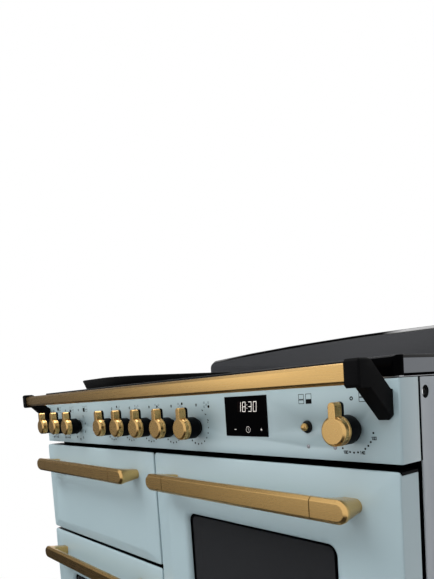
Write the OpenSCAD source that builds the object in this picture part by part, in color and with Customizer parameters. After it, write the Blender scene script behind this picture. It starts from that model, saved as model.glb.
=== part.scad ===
/* [Body] */
// Width over the side panels
body_w = 1092; // [1000:1:1200]
// Depth from the control panel's face to the back
body_d = 640; // [600:1:700]
// Height of the doors' bottom edge above the floor
plinth_top = 136; // [120:1:180]
// Thickness of the side, back and base sheets
sheet_t = 2; // [1.5:0.1:3]
// Distance from the control panel's face to the front frame
frame_y = 42; // [40:1:50]
// Distance from the control panel's face to the side panels' front edge
side_y = 46; // [45:1:54]

/* [Doors] */
// Height of the short doors (grill and drawer)
short_door_h = 230; // [210:1:260]
// Height of the tall oven doors
tall_door_h = 405; // [380:1:430]
// Gap between doors above one another
door_gap_z = 8; // [8:0.5:12]
// Gap between the two columns of doors
door_gap_x = 5; // [4:0.5:10]
// How far a door's outer edge lies inside the body's side
door_inset = 1.5; // [0.5:0.1:4]
// Depth of a door's sides
door_d = 40; // [38:1:41]
// How far the door's edges stand ahead of the control panel
door_proud = 4; // [3:0.5:5]
// How far the raised field stands ahead of the door's edges
field_raise = 5; // [3:0.5:6]
// Width of the sloping border beside the raised field
border_side = 44; // [30:1:60]
// Height of the sloping border below the raised field
border_bottom = 23; // [15:1:30]
// Height of the rounded crown above the raised field
crown_h = 50; // [35:1:55]
// Corner radius of a door's outline
corner_r = 6; // [4:0.5:8]
// Thickness of a door's enamelled skin
skin_t = 2; // [1.5:0.1:3]
// Width of a door's window
window_w = 350; // [300:1:400]
// Height of a door's window
window_h = 242; // [200:1:250]
// Distance from a door's top edge to its window
window_drop = 103; // [95:1:110]
// Corner radius of a window
window_r = 20; // [12:1:30]
// Thickness of the window glass
pane_t = 4; // [3:0.5:5]

/* [Handles] */
// Length of a door handle
handle_l = 458; // [400:1:480]
// Height of a handle bar
handle_h = 31; // [26:1:34]
// Thickness of a handle bar from front to back
handle_t = 10; // [8:1:14]
// Distance from the control panel's face to a handle's front
handle_reach = 57; // [52:0.5:62]
// Distance from a door's top edge to its handle's centre
handle_drop = 46; // [44:1:50]
// Length of a handle's end piece
handle_end_l = 58; // [48:1:70]
// Width of the chamfer round a handle's front
handle_chamfer = 4; // [2:0.5:5]
// Height of a handle's leg where it meets the door
leg_foot_h = 19; // [14:0.5:26]
// Width of a handle's leg inside its rounded end
leg_w = 22; // [16:1:28]

/* [Control panel] */
// Height of the control panel
panel_h = 104; // [98:1:112]
// Depth of the control panel's sides
panel_d = 41; // [38:1:41]
// Gap between the control panel and the doors
panel_gap = 9; // [8:0.5:12]
// Thickness of the control panel's sheet
panel_t = 2; // [1.5:0.1:3]
// Height of the knobs' axes above the panel's bottom edge
knob_z = 43; // [41:1:46]
// Spacing of the five hob knobs
hob_knob_pitch = 78; // [74:1:82]
// How far the middle hob knob lies left of the cooker's middle
hob_knob_off = 10.2; // [0:0.1:14]
// Distance from the body's right side to the right-hand knob
right_knob_in = 69.5; // [66:0.5:76]
// Distance from the body's left side to the first knob
left_knob_in = 52.2; // [48:0.1:60]
// Spacing of the three left-hand knobs
left_knob_pitch = 77.3; // [74:0.1:80]
// Width of the display window
display_w = 98; // [90:1:104]
// Height of the display window
display_h = 64; // [58:1:68]
// Distance of the display's centre from the body's side
display_in = 272; // [268:1:290]
// Distance of the push button from the body's side
button_in = 145.5; // [136:0.5:150]

/* [Knobs] */
// Radius of a knob's round body
knob_r = 19.5; // [17:0.5:21]
// Distance from the panel to a knob's front
knob_reach = 42; // [38:1:46]
// Distance from the panel to the back of a knob
knob_gap = 5; // [4:0.5:9]
// Radius of the collar between a knob's skirt and the panel
collar_r = 14.5; // [10:0.5:16]
// Depth of the brass cap
cap_d = 14; // [10:1:18]
// Distance from the axis to the tip of the lever
lever_l = 36.5; // [32:0.5:38]
// Width of the lever
lever_w = 11; // [8:0.5:14]
// Radius of the switch spindle
spindle_r = 3; // [2.5:0.5:4]

/* [Towel rail] */
// Distance from the control panel's face to the rail's front
rail_reach = 64; // [58:1:70]
// Height of the rail
rail_h = 25.4; // [22:0.2:28]
// Thickness of the rail from front to back
rail_t = 18; // [14:1:20]
// Height of the rail's bottom above the panel's bottom edge
rail_z = 99.6; // [97:0.2:102]
// Distance from the body's side to the brackets' outer face
bracket_inset = 9; // [6:0.5:14]
// Width of a bracket
bracket_w = 21; // [18:0.5:24]
// Chamfer on a bracket's outer edges
bracket_chamfer = 6; // [3:0.5:7]
// Chamfer on a bracket's front corner
bracket_corner = 2.5; // [1:0.5:6]

/* [Hob] */
// Height of the hob surface above the panel's bottom edge
hob_z = 131.5; // [130:0.5:136]
// Height of the band round the hob
band_h = 22.5; // [20:0.5:24]
// Depth of the black trim across the front
trim_d = 11; // [9:0.5:14]
// Thickness of the hob glass
glass_t = 4; // [3:0.5:5]
// Depth of the upstand from front to back
upstand_d = 47; // [40:1:60]
// Height of the upstand's crown above the hob
crown_z = 93; // [80:1:100]
// How much the upstand's top drops from the crown to its ends
upstand_sag = 14.3; // [8:0.1:20]
// Radius of the upstand's top corners
upstand_r = 25; // [18:1:30]
// Width of the bevel along the upstand's top
upstand_bevel = 9; // [5:0.5:12]

/* [Griddle] */
// Width of the griddle plate
griddle_w = 250; // [230:1:255]
// Depth of the griddle plate
griddle_d = 424; // [380:1:430]
// Height of the griddle plate
griddle_h = 28; // [24:1:34]
// How far the griddle's sides lean out
griddle_flare = 10; // [6:1:16]
// Radius of the griddle's corners
griddle_r = 80; // [60:1:100]

/* [Ovens] */
// Width inside the ovens and the grill
cavity_w = 440; // [420:1:450]
// Height inside an oven
oven_h = 325; // [310:1:330]
// Depth inside an oven
oven_d = 430; // [400:1:450]
// Height inside the grill
grill_h = 150; // [140:1:155]
// Depth inside the grill
grill_d = 380; // [350:1:400]
// Radius of the fans' blades
fan_r = 72; // [60:1:78]
// Width of the drawer
drawer_w = 480; // [460:1:484]
// Height of the drawer's sides
drawer_h = 170; // [150:1:172]
// Depth of the drawer
drawer_d = 330; // [300:1:400]

/* [Hidden] */
$fn = 48;
// clearances
seat = 0.3;          // pieces that rest on another body
run = 0.05;          // radial play of shafts and pins
wall = 2;            // enamelled walls of the cavities
eps = 1;             // how far a cutter runs past a face

// places: x from the middle, y behind the control panel's face, z from the floor
bracket_nose = 2;
front_y = (rail_reach + bracket_nose - body_d) / 2;
half_w = body_w / 2;
door_w = half_w - door_gap_x / 2 - door_inset;
door_x = (door_gap_x + door_w) / 2;
door_top = plinth_top + short_door_h + door_gap_z + tall_door_h;
panel_z = door_top + panel_gap;
panel_top = panel_z + panel_h;
hob_top = panel_z + hob_z;
band_z = hob_top - band_h;
grill_door_z = plinth_top + tall_door_h + door_gap_z;
right_door_z = plinth_top + short_door_h + door_gap_z;
edge_y = -door_proud;
field_y = -door_proud - field_raise;
door_back = door_d - door_proud;

// hinges of the drop-down doors, from the door's bottom edge
pivot_y = 12;
pivot_z = 22;
pin_r = 4;
lug_r = 9;
lug_t = 5;
cheek_t = 3;
cheek_gap = 1;
lug_x = door_w / 2 - 30;
sweep_y = 24;        // the door's bottom is no deeper than this, to swing past the frame
liner_z = 12;        // the liner starts this far above the door's bottom edge

// mouths of the grill, the ovens and the drawer
mouth_r = 20;
grill_mouth_z = grill_door_z + (short_door_h - grill_h) / 2 + 2;
left_mouth_z = plinth_top + (tall_door_h - oven_h) / 2;
right_mouth_z = right_door_z + (tall_door_h - oven_h) / 2;
drawer_mouth_z = plinth_top + 20;
drawer_mouth_h = drawer_h + 20;
glide_x = drawer_w / 2 - 50;
cavity_y = frame_y + sheet_t;
seal_w = 6;

// hob and its tray
side_top = panel_top - 0.5;
flange_t = 1.5;
flange_z = side_top + 1.5;
rail_x = half_w - 15;
glass_y0 = trim_d + 16;
upstand_y = body_d - upstand_d;
upstand_edge = 3;    // bevel along the upstand's ends
upstand_cap = 20;    // solid part above the upstand's hollow
glass_y1 = upstand_y - 18;
hob_back = upstand_y - 2;
under_glass = hob_top - glass_t;
griddle_x = -half_w + 19 + griddle_w / 2;
griddle_y = 78 + griddle_d / 2;
tray_z = flange_z + 8;
coil_h = under_glass - 1.5 - tray_z;
coil_places = [[-395, 150, 90], [-395, 390, 90], [0, 285, 120], [395, 150, 90], [395, 400, 75]];
coil_core = 0.3;     // share of a coil's radius left open in its middle

// base, feet and plinth
base_z = plinth_top - 26;
base_t = 3;
foot_r = 20;
foot_inset = 60;
plinth_y = 60;

// control panel
knob_axis = panel_z + knob_z;
left_knob_x = -half_w + left_knob_in;
knob_places = [
    for (i = [0:2]) left_knob_x + i * left_knob_pitch,
    for (i = [-2:2]) i * hob_knob_pitch - hob_knob_off,
    half_w - right_knob_in
];
display_x = half_w - display_in;
display_z = panel_z + 61;
button_x = half_w - button_in;
button_z = panel_z + 45;
lamp_x = [button_x, button_x + 46.5];
lamp_z = panel_z + 17.2;
lamp_r = 2.5;
switch_d = 28;
switch_w = 34;
bezel_r = 9;
button_r = 5.5;
button_stem_r = 2.5;
button_travel = 3;

// fans and heating elements
fan_y = cavity_y + oven_d - 24;
cover_side = 45;     // how far a fan's cover reaches past the blades
cover_top = 35;
cover_y = cavity_y + oven_d - 36;
shaft_r = 4;
motor_r = 35;
element_r = 3.5;

// shelves and grill pan
rack_r = 3;
rung_r = 2.5;
rack_x = cavity_w / 2 - rack_r - 3;
rung_x = rack_x - rack_r - rung_r + 0.3;
shelf_rod_r = 2.5;
rung_pitch = 60;
rack_y = [cavity_y + 40, cover_y - 30];
shelf_rung = 1;
wire_r = 1.6;
wire_pitch = 26;
pan_w = cavity_w - 70;
pan_d = grill_d - 60;
pan_h = 38;

// moves a piece drawn behind the control panel's face into the cooker's own frame
module place() { translate([0, front_y, 0]) children(); }

// a box between two corners
module block(a, b) { translate(a) cube(b - a); }

// draws its child on both sides of the middle
module both_sides() {
    children();
    mirror([1, 0, 0]) children();
}

// extrudes a (depth, height) outline along the width, from x0 to x1
module along_x(x0, x1) { translate([x0, 0, 0]) rotate([90, 0, 90]) linear_extrude(x1 - x0) children(); }

// extrudes a (width, height) outline along the depth, from y0 to y1
module along_y(y0, y1) { translate([0, y1, 0]) rotate([90, 0, 0]) linear_extrude(y1 - y0) children(); }

// a cylinder along the width
module bar_x(x0, x1, y, z, r) { translate([x0, y, z]) rotate([0, 90, 0]) cylinder(h = x1 - x0, r = r); }

// a cylinder along the depth, its radius going from r to r1
module bar_y(x, y0, y1, z, r, r1) {
    translate([x, y1, z]) rotate([90, 0, 0])
        cylinder(h = y1 - y0, r1 = r1 == undef ? r : r1, r2 = r);
}

// a cylinder along the height
module bar_z(x, y, z0, z1, r) { translate([x, y, z0]) cylinder(h = z1 - z0, r = r); }

// a rectangle with round corners, its bottom edge on the x axis
module round_rect(w, h, r) {
    translate([-w / 2 + r, 0]) square([w - 2 * r, h]);
    translate([-w / 2, r]) square([w, h - 2 * r]);
    for (x = [-w / 2 + r, w / 2 - r], z = [r, h - r]) translate([x, z]) circle(r);
}

// the same outline as a plate, standing at z, from y0 to y1
module round_plate(w, h, r, z, y0, y1) {
    translate([0, 0, z]) along_y(y0, y1) round_rect(w, h, r);
}

// CARCASS

module chassis_base() color("dimgray") {
    inner = half_w - sheet_t;
    flange_top = plinth_top - 8;
    difference() {
        block([-inner, side_y, base_z], [inner, body_d - sheet_t, flange_top]);
        block([-inner + sheet_t, side_y + sheet_t, base_z + base_t],
            [inner - sheet_t, body_d - 2 * sheet_t, flange_top + eps]);
        for (x = [-1, 1], y = [0, 1])
            bar_z(x * (half_w - foot_inset), foot_y(y), base_z - eps, base_z + base_t + eps, 6);
    }
    // glides that carry the drawer
    for (x = [-1, 1])
        block([door_x + x * glide_x - 10, side_y + sheet_t, base_z + base_t],
            [door_x + x * glide_x + 10, side_y + drawer_d + 100, drawer_z() - seat]);
}

function foot_y(back) = back == 0 ? side_y + foot_inset : body_d - foot_inset;
function drawer_z() = drawer_mouth_z + 10;

module side_panel() color("gray") {
    fold = 16;
    difference() {
        block([half_w - fold, side_y, base_z - 8], [half_w, body_d - sheet_t, side_top]);
        block([half_w - fold - eps, side_y + sheet_t, base_z - 8 - eps],
            [half_w - sheet_t, body_d - 2 * sheet_t, side_top - sheet_t]);
        // the front fold stops short of the frame's own flange
        block([half_w - fold - eps, side_y - eps, base_z - 8 - eps],
            [half_w - sheet_t, side_y + sheet_t + eps, side_top - sheet_t]);
        block([half_w - fold - eps, body_d - 2 * sheet_t - eps, base_z - 8 - eps],
            [half_w - sheet_t, body_d, plinth_top]);
        bar_x(half_w - sheet_t - eps, half_w + eps, plug_y, plug_z, plug_r);
    }
}

plug_y = side_y + 12;
plug_z = panel_z + 85;
plug_r = 8.5;

// a dished black washer behind each side panel's hole, with its screw
module side_plugs() color("black") both_sides() {
    inner = half_w - sheet_t;
    difference() {
        bar_x(inner - 5, inner, plug_y, plug_z, plug_r + 2);
        bar_x(inner - 4, inner + eps, plug_y, plug_z, plug_r - 1);
    }
    difference() {
        bar_x(inner - 4, inner - 1.5, plug_y, plug_z, 4.5);
        bar_x(inner - 3, inner, plug_y, plug_z, 2);
    }
}

module back_panel() color("darkgray") {
    difference() {
        block([-half_w, body_d - sheet_t, base_z - 8], [half_w, body_d, side_top]);
        // cooling slots for the fan motors
        for (side = [-1, 1], i = [-4:4])
            block([side * door_x + i * 14 - 3, body_d - sheet_t - eps, slot_z(side) - 30],
                [side * door_x + i * 14 + 3, body_d + eps, slot_z(side) + 30]);
        // gland hole under the terminal box's lid
        bar_y(gland_x, body_d - sheet_t - eps, body_d + eps, gland_z, gland_r + run);
    }
}

gland_x = -half_w + 130;
gland_z = base_z + 90;
term_w = 60;         // half the terminal box's width
term_d = 50;
term_up = 80;
term_low = 40;
gland_r = 12;
gland_bore_r = 9;
function slot_z(side) = (side < 0 ? left_mouth_z : right_mouth_z) + oven_h / 2;

// the sheet behind the doors, with the hinge lugs of the drop-down doors
module front_frame() color("black") {
    inner = half_w - sheet_t;
    bottom = plinth_top - 8;
    difference() {
        block([-inner, frame_y, bottom], [inner, frame_y + sheet_t, side_top - sheet_t]);
        for (m = mouths())
            translate([m[0], 0, 0])
                round_plate(m[1], m[2], mouth_r, m[3], frame_y - eps, frame_y + sheet_t + eps);
    }
    both_sides() block([inner - sheet_t, frame_y, bottom], [inner, side_y + 14, plug_z - 30]);
    for (d = drop_doors(), x = [-1, 1]) translate([d[0] + x * lug_x, 0, d[1] + pivot_z]) hinge_lug();
}

function mouths() = [
    [-door_x, cavity_w, grill_h, grill_mouth_z],
    [-door_x, cavity_w, oven_h, left_mouth_z],
    [door_x, cavity_w, oven_h, right_mouth_z],
    [door_x, drawer_w + 10, drawer_mouth_h, drawer_mouth_z]
];
function drop_doors() = [[-door_x, grill_door_z], [-door_x, plinth_top], [door_x, right_door_z]];

module hinge_lug() {
    difference() {
        union() {
            bar_x(-lug_t / 2, lug_t / 2, pivot_y, 0, lug_r);
            block([-lug_t / 2, pivot_y, -lug_r], [lug_t / 2, frame_y, lug_r]);
        }
        bar_x(-lug_t, lug_t, pivot_y, 0, pin_r + run);
    }
}

module plinth() color("black") {
    inner = half_w - 12;
    block([-inner, plinth_y, 14], [inner, plinth_y + sheet_t, base_z]);
    // clips that hold the plinth to the front feet
    both_sides() difference() {
        block([half_w - foot_inset - 12, plinth_y + sheet_t, 50],
            [half_w - foot_inset + 12, foot_y(0) + 12, 62]);
        bar_z(half_w - foot_inset, foot_y(0), 49, 63, 6 + seat);
    }
}

module levelling_feet() color("black") both_sides() for (back = [0, 1]) {
    translate([half_w - foot_inset, foot_y(back), 0]) {
        cylinder(h = 6, r = foot_r);
        translate([0, 0, 6]) cylinder(h = 6, r1 = foot_r, r2 = 10);
        cylinder(h = base_z + base_t + 12, r = 6 - run);
        // lock nut under the base
        translate([0, 0, base_z - 8]) cylinder(h = 8, r = 11, $fn = 6);
    }
}

// the inlet: a shallow box behind the back panel with a gland for a supply lead
module terminal_box() color("gray") {
    y1 = body_d - sheet_t;
    difference() {
        block([gland_x - term_w, y1 - term_d, gland_z - term_low], [gland_x + term_w, y1, gland_z + term_up]);
        block([gland_x - term_w + wall, y1 - term_d + wall, gland_z - term_low + wall],
            [gland_x + term_w - wall, y1 + eps, gland_z + term_up - wall]);
    }
    // gland for the supply lead, pushed through the back panel
    difference() {
        union() {
            bar_y(gland_x, y1 - 12, y1, gland_z, gland_r + 4);
            bar_y(gland_x, y1 - 1, body_d, gland_z, gland_r);
        }
        bar_y(gland_x, y1 - 13, body_d + eps, gland_z, gland_bore_r);
    }
    // five-way terminal block
    block([gland_x - 45, y1 - term_d + wall, gland_z + 30], [gland_x + 45, y1 - 26, gland_z + 56]);
}

// CONTROL PANEL

module control_panel() color("lightblue") {
    corner = 3;
    difference() {
        translate([0, 0, panel_z]) linear_extrude(panel_h) panel_plan(half_w, 0, corner);
        // hollow behind the face; the top and bottom folds reach back to the front frame
        block([-half_w + panel_t, panel_t, panel_z + panel_t],
            [half_w - panel_t, frame_y + eps, panel_top - panel_t]);
        for (x = knob_places) bar_y(x, -eps, panel_t + eps, knob_axis, spindle_r + 2);
        block([display_x - display_w / 2 + 4, -eps, display_z - display_h / 2 + 4],
            [display_x + display_w / 2 - 4, panel_t + eps, display_z + display_h / 2 - 4]);
        bar_y(button_x, -eps, panel_t + eps, button_z, button_r + 2);
        for (x = lamp_x) bar_y(x, -eps, panel_t + eps, lamp_z, lamp_r);
    }
    both_sides() for (z = [panel_z, panel_top - panel_t])
        block([0, panel_d, z], [half_w - 12, frame_y, z + panel_t]);
}

module panel_plan(w, y, r) {
    translate([-w, y + r]) square([2 * w, panel_d - r - y]);
    translate([-w + r, y]) square([2 * (w - r), panel_d - y]);
    for (x = [-w + r, w - r]) translate([x, y + r]) circle(r);
}

module display_module() color("black") {
    face = 0.6;
    block([display_x - display_w / 2, -face, display_z - display_h / 2],
        [display_x + display_w / 2, 0, display_z + display_h / 2]);
    block([display_x - display_w / 2 + 4.5, 0, display_z - display_h / 2 + 4.5],
        [display_x + display_w / 2 - 4.5, 20, display_z + display_h / 2 - 4.5]);
}

module indicator_lenses() color("rosybrown") for (x = lamp_x) {
    bar_y(x, -1, panel_t, lamp_z, lamp_r - 0.1);
    bar_y(x, panel_t, panel_t + 2, lamp_z, lamp_r + 1.5);
}

module button_bezel() color("black") {
    difference() {
        union() {
            bar_y(button_x, -2.5, 0, button_z, bezel_r - 1, bezel_r);
            bar_y(button_x, -4.5, -2.5, button_z, bezel_r - 2);
            bar_y(button_x, 0, panel_t, button_z, button_r + 1.8);
        }
        bar_y(button_x, -5, panel_t + eps, button_z, button_r + run);
    }
}

module push_button() color("goldenrod") {
    bar_y(button_x, -8, panel_t + 1, button_z, button_r);
    bar_y(button_x, -9.5, -8, button_z, button_r - 1.5, button_r);
    translate([button_x, -9, button_z]) intersection() {
        sphere(r = 3.4);
        block([-4, -4, -4], [4, 0.5, 4]);
    }
    bar_y(button_x, panel_t + 1, panel_t + 14, button_z, button_stem_r);
}

// nine rotary switches with bores for the spindles, and the push switch
module control_switches() color("dimgray") {
    for (x = knob_places) difference() {
        block([x - switch_w / 2, panel_t, knob_axis - switch_w / 2],
            [x + switch_w / 2, panel_t + switch_d, knob_axis + switch_w / 2]);
        bar_y(x, panel_t - eps, panel_t + spindle_in, knob_axis, spindle_r + run);
    }
    difference() {
        block([button_x - 11, panel_t, button_z - 11], [button_x + 11, panel_t + 24, button_z + 11]);
        bar_y(button_x, panel_t - eps, panel_t + 1 + button_travel + 1, button_z, button_r + 0.5);
        bar_y(button_x, panel_t, panel_t + 14 + button_travel + 1, button_z, button_stem_r + run);
    }
}

spindle_in = 18;
collar_gap = 1;

// a knob: brass cap with its lever, black skirt, and the spindle moulded into the skirt
module knob(x) translate([x, 0, knob_axis]) {
    cap_y = -knob_reach + cap_d;
    color("goldenrod") {
        chamfer = 2.6;
        bar_y(0, -knob_reach, -knob_reach + chamfer, 0, knob_r - chamfer, knob_r - 0.4);
        bar_y(0, -knob_reach + chamfer, cap_y, 0, knob_r - 0.4);
        bar_y(0, cap_y - 4, cap_y, 0, knob_r);
        along_y(-knob_reach, cap_y) lever_outline();
    }
    color("black") {
        along_y(cap_y + seat, cap_y + 5) lever_outline();
        bar_y(0, cap_y + seat, -knob_gap - 4, 0, knob_r - 0.5);
        bar_y(0, -knob_gap - 4, -knob_gap, 0, knob_r - 0.5, knob_r - 3);
        bar_y(0, -knob_gap, -collar_gap, 0, collar_r);
        bar_y(0, -collar_gap, panel_t + spindle_in - 1, 0, spindle_r);
    }
}

module lever_outline() {
    translate([-lever_w / 2, 0]) square([lever_w, lever_l - lever_w / 2]);
    translate([0, lever_l - lever_w / 2]) circle(lever_w / 2);
}

// TOWEL RAIL

bracket_x1 = half_w - bracket_inset;
bracket_x0 = bracket_x1 - bracket_w;

module rail_bar() color("goldenrod") {
    c = 4;
    z = panel_z + rail_z;
    y = -rail_reach;
    along_x(-bracket_x0, bracket_x0) polygon([
        [y, z + c], [y + c, z], [y + rail_t - c, z], [y + rail_t, z + c],
        [y + rail_t, z + rail_h - c], [y + rail_t - c, z + rail_h], [y + c, z + rail_h], [y, z + rail_h - c]
    ]);
}

// a cap round the rail's end and a sloping arm down to the control panel, one black moulding
module rail_brackets() color("black") both_sides() {
    z0 = panel_z + rail_z - 4;
    z1 = panel_z + rail_z + rail_h + 4.5;
    y0 = -rail_reach - bracket_nose;
    foot_z0 = panel_z + 54;
    foot_z1 = panel_z + 91.5;
    c = bracket_chamfer;
    r = 3.5;
    intersection() {
        along_x(bracket_x0, bracket_x1) polygon([
            [y0, z0 + r], [y0 + r, z0], [y0 + rail_t + 3, z0], [-1.5, foot_z0], [0, foot_z0],
            [0, foot_z1], [-3.5, foot_z1], [y0 + rail_t + 6, z1 - 2], [y0 + rail_t + 1, z1], [y0 + r, z1], [y0, z1 - r]
        ]);
        translate([0, 0, foot_z0 - eps]) linear_extrude(z1 - foot_z0 + 2 * eps) polygon([
            [bracket_x0, y0 - eps], [bracket_x1 - bracket_corner, y0 - eps], [bracket_x1, y0 + bracket_corner],
            [bracket_x1, 0], [bracket_x0, 0]
        ]);
        along_y(y0 - 2 * eps, 0) polygon([
            [bracket_x0, foot_z0], [bracket_x1 - c, foot_z0], [bracket_x1, foot_z0 + c], [bracket_x1, z1 - 2],
            [bracket_x1 - 2, z1], [bracket_x0, z1]
        ]);
    }
}

// HOB

// a folded tray under the glass; its edge shows as a thin line above the side panels
module coil_tray() color("silver") {
    seat_x = half_w - 16;
    difference() {
        block([-half_w + 1, 2, flange_z], [half_w - 1, hob_back, flange_z + flange_t]);
        block([-rail_x + 4, glass_y0 + 10, flange_z - eps], [rail_x - 4, glass_y1 - 10, flange_z + flange_t + eps]);
    }
    // raised floor that carries the coils
    difference() {
        block([-rail_x + 2.5, glass_y0 + 8.5, flange_z], [rail_x - 2.5, glass_y1 - 8.5, tray_z]);
        block([-rail_x + 4, glass_y0 + 10, flange_z - eps], [rail_x - 4, glass_y1 - 10, tray_z - 1.5]);
    }
    // ribs that stand on the side panels' top folds
    both_sides() block([seat_x + 2, side_y + 2, side_top], [seat_x + 12, hob_back - 10, flange_z]);
}

module induction_coils() color("peru") for (c = coil_places) translate([c[0], c[1], tray_z]) difference() {
    cylinder(h = coil_h, r = c[2]);
    translate([0, 0, -eps]) cylinder(h = coil_h + 2 * eps, r = c[2] * coil_core);
    // spiral turns show as rings in the top face
    for (k = [0.45, 0.6, 0.75, 0.9]) translate([0, 0, coil_h - 1]) difference() {
        cylinder(h = 2, r = c[2] * k);
        cylinder(h = 2, r = c[2] * k - 2);
    }
}

module hob_frame() color("gray") {
    outer = half_w - 1;
    difference() {
        block([-outer, trim_d, band_z], [outer, hob_back, under_glass]);
        block([-rail_x + 15, glass_y0 + 14, band_z - eps], [rail_x - 15, glass_y1 - 14, under_glass + eps]);
        block([-rail_x + 1, glass_y0 + 1, band_z - eps], [rail_x - 1, glass_y1 - 1, under_glass - 2]);
    }
    // foot along each side, on the tray's flange
    both_sides() block([rail_x, glass_y0, flange_z + flange_t], [rail_x + 12, glass_y1, band_z]);
}

module hob_front_trim() color("black") {
    r = 10;
    z0 = flange_z + flange_t;
    intersection() {
        translate([0, 0, z0]) linear_extrude(hob_top - z0) {
            translate([-half_w, r]) square([2 * half_w, trim_d - r]);
            translate([-half_w + r, 0]) square([2 * (half_w - r), trim_d]);
            for (x = [-half_w + r, half_w - r]) translate([x, r]) circle(r);
        }
        along_x(-half_w, half_w) polygon([
            [0, z0 + 1], [1, z0], [trim_d, z0], [trim_d, hob_top], [2, hob_top], [0, hob_top - 2]
        ]);
    }
}

// the glass lies on the steel band and covers it to its outer edges
module hob_glass() color("black")
    block([-half_w + 1, trim_d + seat, under_glass], [half_w - 1, hob_back, hob_top]);

// the arched upstand: its top follows a large arc, bevelled along the front, hollow behind
module rear_upstand() color("dimgray") {
    w = half_w - 1;
    top = hob_top + crown_z;
    arc_r = (w * w + upstand_sag * upstand_sag) / (2 * upstand_sag);
    b = upstand_bevel;
    y0 = upstand_y;
    difference() {
        hull() {
            along_y(y0, y0 + 0.1) upstand_outline(w - upstand_edge, top, arc_r - b, upstand_r - b, b);
            along_y(y0 + b, body_d) upstand_outline(w, top, arc_r, upstand_r, 0);
        }
        block([-w + b + 2, y0 + wall, side_top - eps],
            [w - b - 2, body_d - wall, top - upstand_sag - upstand_cap]);
        // louvres for the cooling air
        for (i = [-5:5]) translate([i * 92, 0, 0])
            for (k = [0:2]) block([-30, body_d - wall - eps, hob_top + 12 + k * 16],
                [30, body_d + eps, hob_top + 20 + k * 16]);
    }
}

// the outline seen from the front: corner arcs of radius r meet the large arc smoothly
module upstand_outline(w, top, arc_r, r, drop) {
    corner_x = w - r;
    reach = arc_r - r;
    arc_z = top - drop - arc_r;
    corner_z = arc_z + sqrt(reach * reach - corner_x * corner_x);
    lean = asin(corner_x / reach);
    polygon(concat(
        [[-w, side_top], [w, side_top]],
        [for (i = [0:8]) let (a = (90 - lean) * i / 8) [corner_x + r * cos(a), corner_z + r * sin(a)]],
        [for (i = [1:23]) let (a = lean - lean * i / 12) [arc_r * sin(a), arc_z + arc_r * cos(a)]],
        [for (i = [0:8]) let (a = 90 + lean + (90 - lean) * i / 8) [-corner_x + r * cos(a), corner_z + r * sin(a)]]
    ));
}

// the griddle plate that stands on the left-hand zones: flared walls round a flat base
module griddle() color("black") translate([griddle_x, griddle_y, hob_top + seat]) {
    difference() {
        flared_tray(griddle_w, griddle_d, griddle_h, 0);
        translate([0, 0, 6]) flared_tray(griddle_w - 10, griddle_d - 10, griddle_h, 5);
    }
}

module flared_tray(w, d, h, lift) hull() {
    f = griddle_flare;
    linear_extrude(0.5) centred_rect(w - 2 * f + lift, d - 2 * f + lift, griddle_r - f);
    translate([0, 0, h - 3]) linear_extrude(3) centred_rect(w, d, griddle_r);
}

module centred_rect(w, d, r) translate([0, -d / 2]) round_rect(w, d, r, $fn = 32);

// OVENS AND GRILL

// a pressed enamel box, open towards the door; floor at z
module cavity(h, depth) {
    difference() {
        round_plate(cavity_w + 2 * wall, h + 2 * wall, mouth_r + wall, -wall, cavity_y, cavity_y + depth + wall);
        round_plate(cavity_w, h, mouth_r, 0, cavity_y - eps, cavity_y + depth);
        children();
    }
}

module grill_cavity() color("darkslategray")
    translate([-door_x, 0, grill_mouth_z]) cavity(grill_h, grill_d);

module oven_cavity(side, z) color("darkslategray") translate([side * door_x, 0, z]) cavity(oven_h, oven_d)
    bar_y(0, cavity_y + oven_d - eps, cavity_y + oven_d + wall + eps, oven_h / 2, shaft_r + 2);

// a pressed cover in front of each fan, with round holes in rings and a vent at each edge
module fan_covers() color("slategray") for (side = [-1, 1])
    translate([side * door_x, 0, slot_z(side)]) {
        w = 2 * (fan_r + cover_side);
        h = 2 * (fan_r + cover_top);
        back = cavity_y + oven_d;
        difference() {
            round_plate(w, h, 25, -h / 2, cover_y, back);
            round_plate(w - 3, h - 3, 23.5, -h / 2 + 1.5, cover_y + 1.5, back + eps);
            for (ring = [[18, 6], [34, 12], [50, 18]], i = [0:ring[1] - 1])
                bar_y(ring[0] * cos(i * 360 / ring[1]), cover_y - eps, cover_y + 2 * eps,
                    ring[0] * sin(i * 360 / ring[1]), 4.5);
            for (x = [-1, 1]) block([x * w / 2 - 4, cover_y + 10, -50], [x * w / 2 + 4, back - 10, 50]);
        }
    }

module fan(side) color("silver") translate([side * door_x, 0, slot_z(side)]) {
    blades = 12;
    bar_y(0, fan_y + 16, fan_y + 17.5, 0, fan_r - 4);
    bar_y(0, fan_y, fan_y + 17, 0, 10);
    for (i = [0:blades - 1]) rotate([0, i * 360 / blades, 0]) translate([fan_r - 14, 0, 0]) rotate([0, 25, 0])
        block([-14, fan_y, -0.75], [12, fan_y + 16.5, 0.75]);
    bar_y(0, fan_y + 17, cavity_y + oven_d + wall + 24, 0, shaft_r);
}

module fan_motors() color("gray") for (side = [-1, 1]) translate([side * door_x, 0, slot_z(side)]) {
    y0 = cavity_y + oven_d + wall;
    difference() {
        union() {
            bar_y(0, y0, y0 + 4, 0, motor_r);
            bar_y(0, y0 + 4, y0 + 50, 0, motor_r - 8);
        }
        bar_y(0, y0 - eps, y0 + 26, 0, shaft_r + run);
    }
}

// a tube bent round a half circle, lying flat
module half_bend(r) rotate_extrude(angle = 180, $fn = 24) translate([r, 0]) circle(element_r, $fn = 24);

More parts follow.
